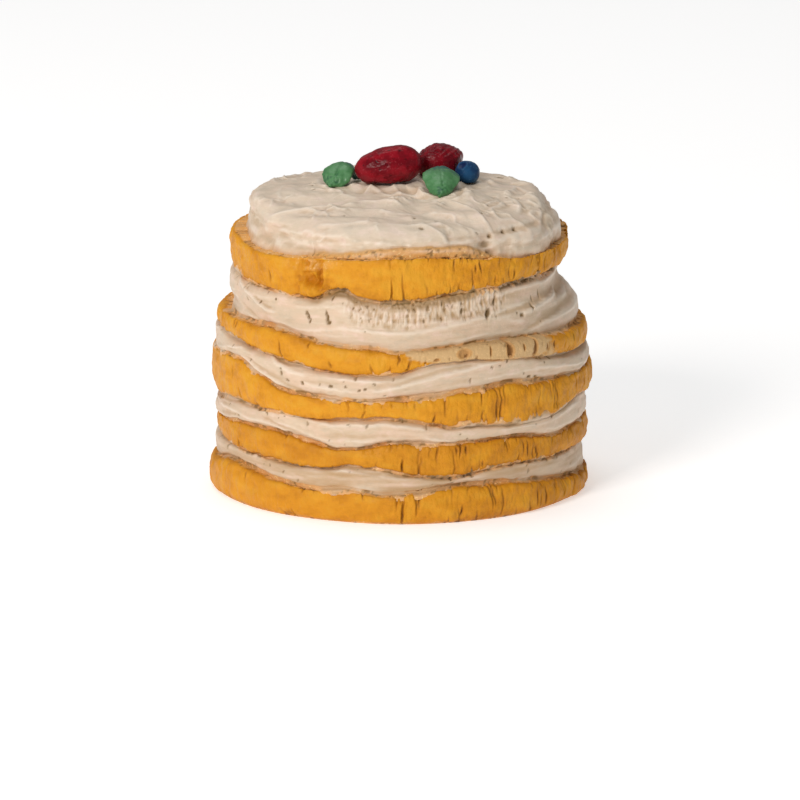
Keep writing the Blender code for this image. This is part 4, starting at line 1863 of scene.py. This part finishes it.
@dataclass(frozen=True)
class Studio:
    """The plain floor, soft light and camera, in metres."""

    elevation: float = 13.0
    distance: float = 4.0
    frame_width: float = 0.3626
    aim: tuple[float, float, float] = (-0.00045, 0.0, 0.0377)
    sensor: float = 36.0
    floor_radius: float = 6.0
    floor_sides: int = 96
    floor_roughness: float = 0.9
    floor_colour: Colour = (0.85, 0.85, 0.85)
    floor_glow: float = 0.52
    sky_strength: float = 0.27
    lights: tuple[SoftLight, ...] = (
        SoftLight("key", (-1.4, -2.4, 1.6), 0.9, 58.0, (1.0, 0.95, 0.91)),
        SoftLight("side", (-2.6, -0.2, 0.9), 1.4, 4.0, (1.0, 0.98, 0.96)),
        SoftLight("fill", (2.4, -1.6, 1.0), 1.6, 2.5, (0.84, 1.0, 0.92)),
        SoftLight("top", (-0.3, 0.7, 2.3), 1.4, 14.0, (1.0, 1.0, 1.0)),
    )

    def build(self) -> None:
        """Builds the studio."""
        self._floor()
        self._sky()
        for light in self.lights:
            light.hang(Vector(self.aim))
        self._camera()

    def _floor(self) -> None:
        """Lays a wide round floor."""
        turns = [2 * math.pi * i / self.floor_sides for i in range(self.floor_sides)]
        radius = self.floor_radius
        ring = [(radius * math.cos(turn), radius * math.sin(turn), 0.0) for turn in turns]
        mesh = bpy.data.meshes.new("floor")
        mesh.from_pydata(ring, [], [tuple(range(self.floor_sides))])
        floor = bpy.data.objects.new("floor", mesh)
        bpy.context.scene.collection.objects.link(floor)
        bench = Bench("floor")
        bench.feed(bench.shader.inputs["Base Color"], self.floor_colour)
        bench.feed(bench.shader.inputs["Emission Color"], self.floor_colour)
        bench.shader.inputs["Emission Strength"].default_value = self.floor_glow
        bench.shader.inputs["Roughness"].default_value = self.floor_roughness
        mesh.materials.append(bench.material)

    def _sky(self) -> None:
        """Fills the room with even light."""
        world = bpy.data.worlds.new("room")
        world.use_nodes = True
        background = world.node_tree.nodes["Background"]
        background.inputs["Color"].default_value = (1.0, 1.0, 1.0, 1.0)
        background.inputs["Strength"].default_value = self.sky_strength
        bpy.context.scene.world = world

    def _camera(self) -> None:
        """Sets the camera on the cake from the front, a little above."""
        lift = math.radians(self.elevation)
        camera = bpy.data.cameras.new("camera")
        camera.sensor_width = self.sensor
        camera.lens = self.sensor * self.distance / self.frame_width
        holder = bpy.data.objects.new("camera", camera)
        holder.location = Vector(self.aim) + self.distance * Vector((0.0, -math.cos(lift), math.sin(lift)))
        holder.rotation_euler = (math.radians(90.0) - lift, 0.0, 0.0)
        bpy.context.scene.collection.objects.link(holder)
        bpy.context.scene.camera = holder
        bpy.context.scene.view_settings.view_transform = "Standard"


def top_shapes() -> list[Union[TopPass, TopSwell]]:
    """Lists the passes and mounds that show at the front of the top.

    Returns:
        The passes and mounds, in the order in which they are pressed.
    """
    broad = Smear(46.0, 18.0, 1.3, 0.8, -0.6, 0.9)
    flat = Smear(48.0, 16.0, 0.7, 0.35, -0.6, 0.9, 0.4)
    swoosh = Smear(60.0, 13.0, 0.5, 0.35, 0.7, 0.85, 0.4)
    short = Smear(34.0, 10.0, 0.5, 0.4, 0.6, 0.85, 0.4)
    return [
        TopPass((-52.0, -43.0), (-12.0, -49.0), -2.5, flat),
        TopPass((-8.0, -52.0), (22.0, -50.0), -2.0, flat),
        TopPass((-60.0, -28.0), (-56.0, 12.0), 4.0, flat),
        TopPass((-30.0, 54.0), (-60.0, 14.0), -9.0, short),
        TopPass((-58.0, -24.0), (-22.0, -20.0), -3.5, broad),
        TopPass((-20.0, -30.0), (2.0, -44.0), 2.5, short),
        TopPass((2.0, -34.0), (27.0, -66.0), 6.0, swoosh),
        TopPass((-4.0, -24.0), (38.0, -62.0), 5.0, swoosh),
        TopPass((14.0, -24.0), (36.0, -60.0), 3.0, short),
        TopSwell((30.0, -24.0), (8.0, 13.0), 1.8),
        TopPass((38.0, -6.0), (50.0, -34.0), 3.0, short),
        TopPass((52.0, -10.0), (58.0, -36.0), 3.0, short),
    ]


def fruit_collars() -> list[Collar]:
    """Lists the cream pushed up round each fruit and leaf.

    Returns:
        A collar for each.
    """
    return [
        Collar((-5.7, 1.0), (13.6, 8.0), 4.0, 1.9, 2.6),
        Collar((18.0, 20.0), (11.2, 9.2), 66.0, 1.5),
        Collar((29.9, 9.0), (5.2, 5.2), 0.0, 1.2, 2.4),
        Collar((-28.5, 0.0), (6.0, 9.0), -30.0, 0.4, 2.6),
        Collar((18.0, -8.0), (7.6, 13.0), 0.0, 0.9, 2.6),
    ]


def stack() -> list[Union[Crepe, CreamFilling]]:
    """Lists the layers of the stack, with the holes, dents and passes seen in their sides.

    Returns:
        The layers from the bottom up.
    """
    names = [f"{kind}_{number}" for number in range(1, 6) for kind in ("crepe", "cream")]
    shapes = [SideShape(name, seam) for seam, name in enumerate(names[:-1])]
    slots = [
        Pit(11.0, 0.3, 2.4, 1.6, 0.8, 0.5),
        Pit(19.7, 0.52, 4.6, 4.4, 0.9, 0.3, 0.0, 4.0),
        Pit(28.4, 0.50, 0.8, 5.0),
        Pit(35.3, 0.50, 3.0, 7.2, 1.6, 0.85, 0.0, 3.0),
        Pit(40.5, 0.60, 1.0, 3.2),
        Pit(45.5, 0.50, 1.7, 7.8, 1.2, 0.8, -0.6, 2.4),
        Pit(50.7, 0.50, 0.9, 3.2),
        Pit(54.7, 0.55, 0.9, 3.6),
    ]
    slits = [
        Pit(-54.0, 0.62, 1.2, 2.0),
        Pit(-47.0, 0.80, 1.4, 1.4),
        Pit(-33.4, 0.62, 1.8, 2.2, 0.9, 0.8),
        Pit(-32.6, 0.54, 1.7, 2.8, 1.1, 0.9, 0.6),
        Pit(-31.8, 0.44, 1.2, 2.6, 1.0, 0.9, -0.6),
        Pit(-25.7, 0.60, 1.5, 2.6, 1.0, 0.8, 0.4),
        Pit(-25.2, 0.50, 1.6, 3.2, 1.2, 0.95, -0.4),
        Pit(-24.6, 0.41, 2.6, 2.0, 1.1, 0.95),
        Pit(7.5, 0.60, 1.0, 2.2),
        Pit(13.5, 0.60, 1.0, 1.6, 0.8, 0.9, 1.0),
        Pit(21.0, 0.68, 1.4, 3.2, 1.0, 0.9, -1.0),
        Pit(30.6, 0.54, 3.0, 4.4, 1.4, 0.95, -1.6),
        Pit(34.0, 0.74, 1.4, 3.0, 1.1, 0.9, -1.2),
        Pit(42.6, 0.46, 1.1, 1.1),
        Pit(44.6, 0.40, 2.8, 1.5, 0.9, 0.95),
        Pit(49.8, 0.50, 1.3, 3.4, 1.0, 0.95, -0.4),
        Pit(51.4, 0.66, 1.1, 2.2, 0.9, 0.85),
        Pit(56.0, 0.70, 1.0, 3.6, 1.0, 0.8, -0.6),
    ]
    swells = [
        Pit(88.0, 0.20, 70.0, 9.0, -1.4, 0.0),
        Pit(92.0, 0.70, 80.0, 12.0, 3.6, 0.0),
        Pit(-90.0, 0.16, 70.0, 9.0, 2.2, 0.0),
    ]
    left_swell = [Pit(-90.0, 0.85, 60.0, 7.0, 1.6, 0.0)]
    third_holes = [
        Pit(-37.5, 0.36, 2.2, 1.6, 0.8, 0.85),
        Pit(-31.5, 0.40, 1.6, 2.4, 0.9, 0.95),
        Pit(-21.8, 0.50, 2.2, 1.7, 0.8, 0.95, 0.5),
        Pit(-17.0, 0.52, 1.3, 1.5, 0.6, 0.9),
        Pit(-12.6, 0.44, 1.5, 1.3, 0.7, 0.9),
        Pit(-10.8, 0.50, 1.6, 1.5, 0.7, 0.9, -0.6),
        Pit(43.4, 0.12, 2.2, 2.2, 0.9, 0.95),
        Pit(46.2, 0.10, 1.7, 1.8, 0.9, 0.95, 0.6),
    ]
    dents = [
        Pit(-33.2, 0.50, 8.0, 6.0, 2.2, 0.3, 0.5, 4.0),
        Pit(-28.9, 0.46, 4.5, 9.0, 3.0, 0.6, -0.4, 4.0),
        Pit(-36.5, 0.44, 3.0, 4.0, 1.4, 0.5, 0.8, 3.0),
        Pit(-31.0, 0.78, 5.0, 3.0, -2.0, 0.0),
        Pit(-35.0, 0.82, 3.6, 2.6, -1.5, 0.0),
        Pit(-26.2, 0.56, 3.0, 8.0, -0.9, 0.0),
        Pit(-33.0, 0.16, 13.0, 5.0, -1.8, 0.0),
        Pit(-27.0, 0.16, 6.0, 3.0, 1.0, 0.6),
    ]
    fold = Smear(44.0, 8.5, 0.7, 0.6, 1.2, 0.9, 0.2)
    wipe = Smear(90.0, 7.0, 0.5, 0.4, 0.6, 0.9, 0.2)
    low_front = [SidePass(-10.0, 0.45, -0.02, wipe)]
    second_front = [SidePass(-36.0, 0.5, -0.22, fold), SidePass(-18.0, 0.6, -0.05, wipe)]
    third_front = [SidePass(-44.0, 0.6, -0.12, fold), SidePass(20.0, 0.5, 0.10, wipe)]
    wide_front = [
        SidePass(-60.0, 0.45, -0.25, fold),
        SidePass(6.0, 0.25, 0.05, wipe),
        SidePass(58.0, 0.4, 0.2, fold),
    ]

    def crepe(seam: int, rows: int, **details: object) -> Crepe:
        """A crepe with as many rows of facets as given."""
        return Crepe(shapes[seam], CREPE_COLUMNS, rows, seam + 1, **details)

    def cream(seam: int, columns: int, rows: int, passes: int, **details: object) -> CreamFilling:
        """A filling between the crepes below and above it, spread in a number of passes."""
        beside = shapes[seam - 1], shapes[seam + 1]
        return CreamFilling(shapes[seam], columns, rows, seam + 1, *beside, passes, **details)

    return [
        crepe(0, 24, ledge=0.12, tone=0.3),
        cream(1, CREAM_COLUMNS, 22, 22, tone=0.95, front=low_front, crumbed=(4.0, 70.0, 1.8)),
        crepe(2, 24, tone=0.55),
        cream(3, CREAM_COLUMNS, 24, 20, tone=0.2, front=second_front, swells=left_swell),
        crepe(4, 25),
        cream(5, CREAM_COLUMNS, 26, 22, front=third_front, holes=third_holes),
        crepe(6, 24, washed=(7.0, 52.0), slots=slots),
        cream(
            7, WIDE_COLUMNS, 46, 34, pores=70, front=wide_front, swells=swells, holes=slits,
            scratched=(-20.0, 38.0, 0.56), shadowed=(-32.0, 26.0, 5.0), crumbed=(24.0, 76.0, 3.4),
        ),
        crepe(8, 27, ledge=0.05, toast=0.2, dents=dents, torn=True),
    ]


def main() -> None:
    """Builds the cake and the studio."""
    logging.basicConfig(level=logging.INFO, format="%(name)s: %(message)s")
    Studio().build()
    crepe_paint, cream_paint = CrepePaint().material(), CreamPaint().material()
    for layer in stack():
        layer.build(crepe_paint if isinstance(layer, Crepe) else cream_paint)
    SpreadTop(front=top_shapes(), fruit=fruit_collars()).build(cream_paint)
    red = FruitPaint(
        Slot.STRAWBERRY,
        fresh=(0.26, 0.006, 0.014),
        deep=(0.14, 0.003, 0.008),
        mark=(0.012, 0.002, 0.004),
        worn_and_reflected=(0.42, 0.07, 0.085),
    )
    blue = FruitPaint(
        Slot.BLUEBERRY,
        fresh=(0.016, 0.072, 0.17),
        deep=(0.010, 0.036, 0.105),
        mark=(0.004, 0.010, 0.06),
        worn_and_reflected=(0.08, 0.21, 0.31),
    )
    red_paint, green_paint = red.material(), LeafPaint().material()
    Strawberry("strawberry_front", 4.0, 111).build(red_paint)
    Strawberry("strawberry_back", 66.0, 121, darkened=0.2, squash=1.8).build(red_paint)
    Blueberry().build(blue.material())
    Leaf("leaf_left", 141, (-19.0, 17.0, 137.2), (-31.7, -5.0, 135.3)).build(green_paint)
    Leaf("leaf_right", 151, (18.5, 9.0, 137.5), (17.8, -22.5, 135.0)).build(green_paint)


if __name__ == "__main__":
    main()
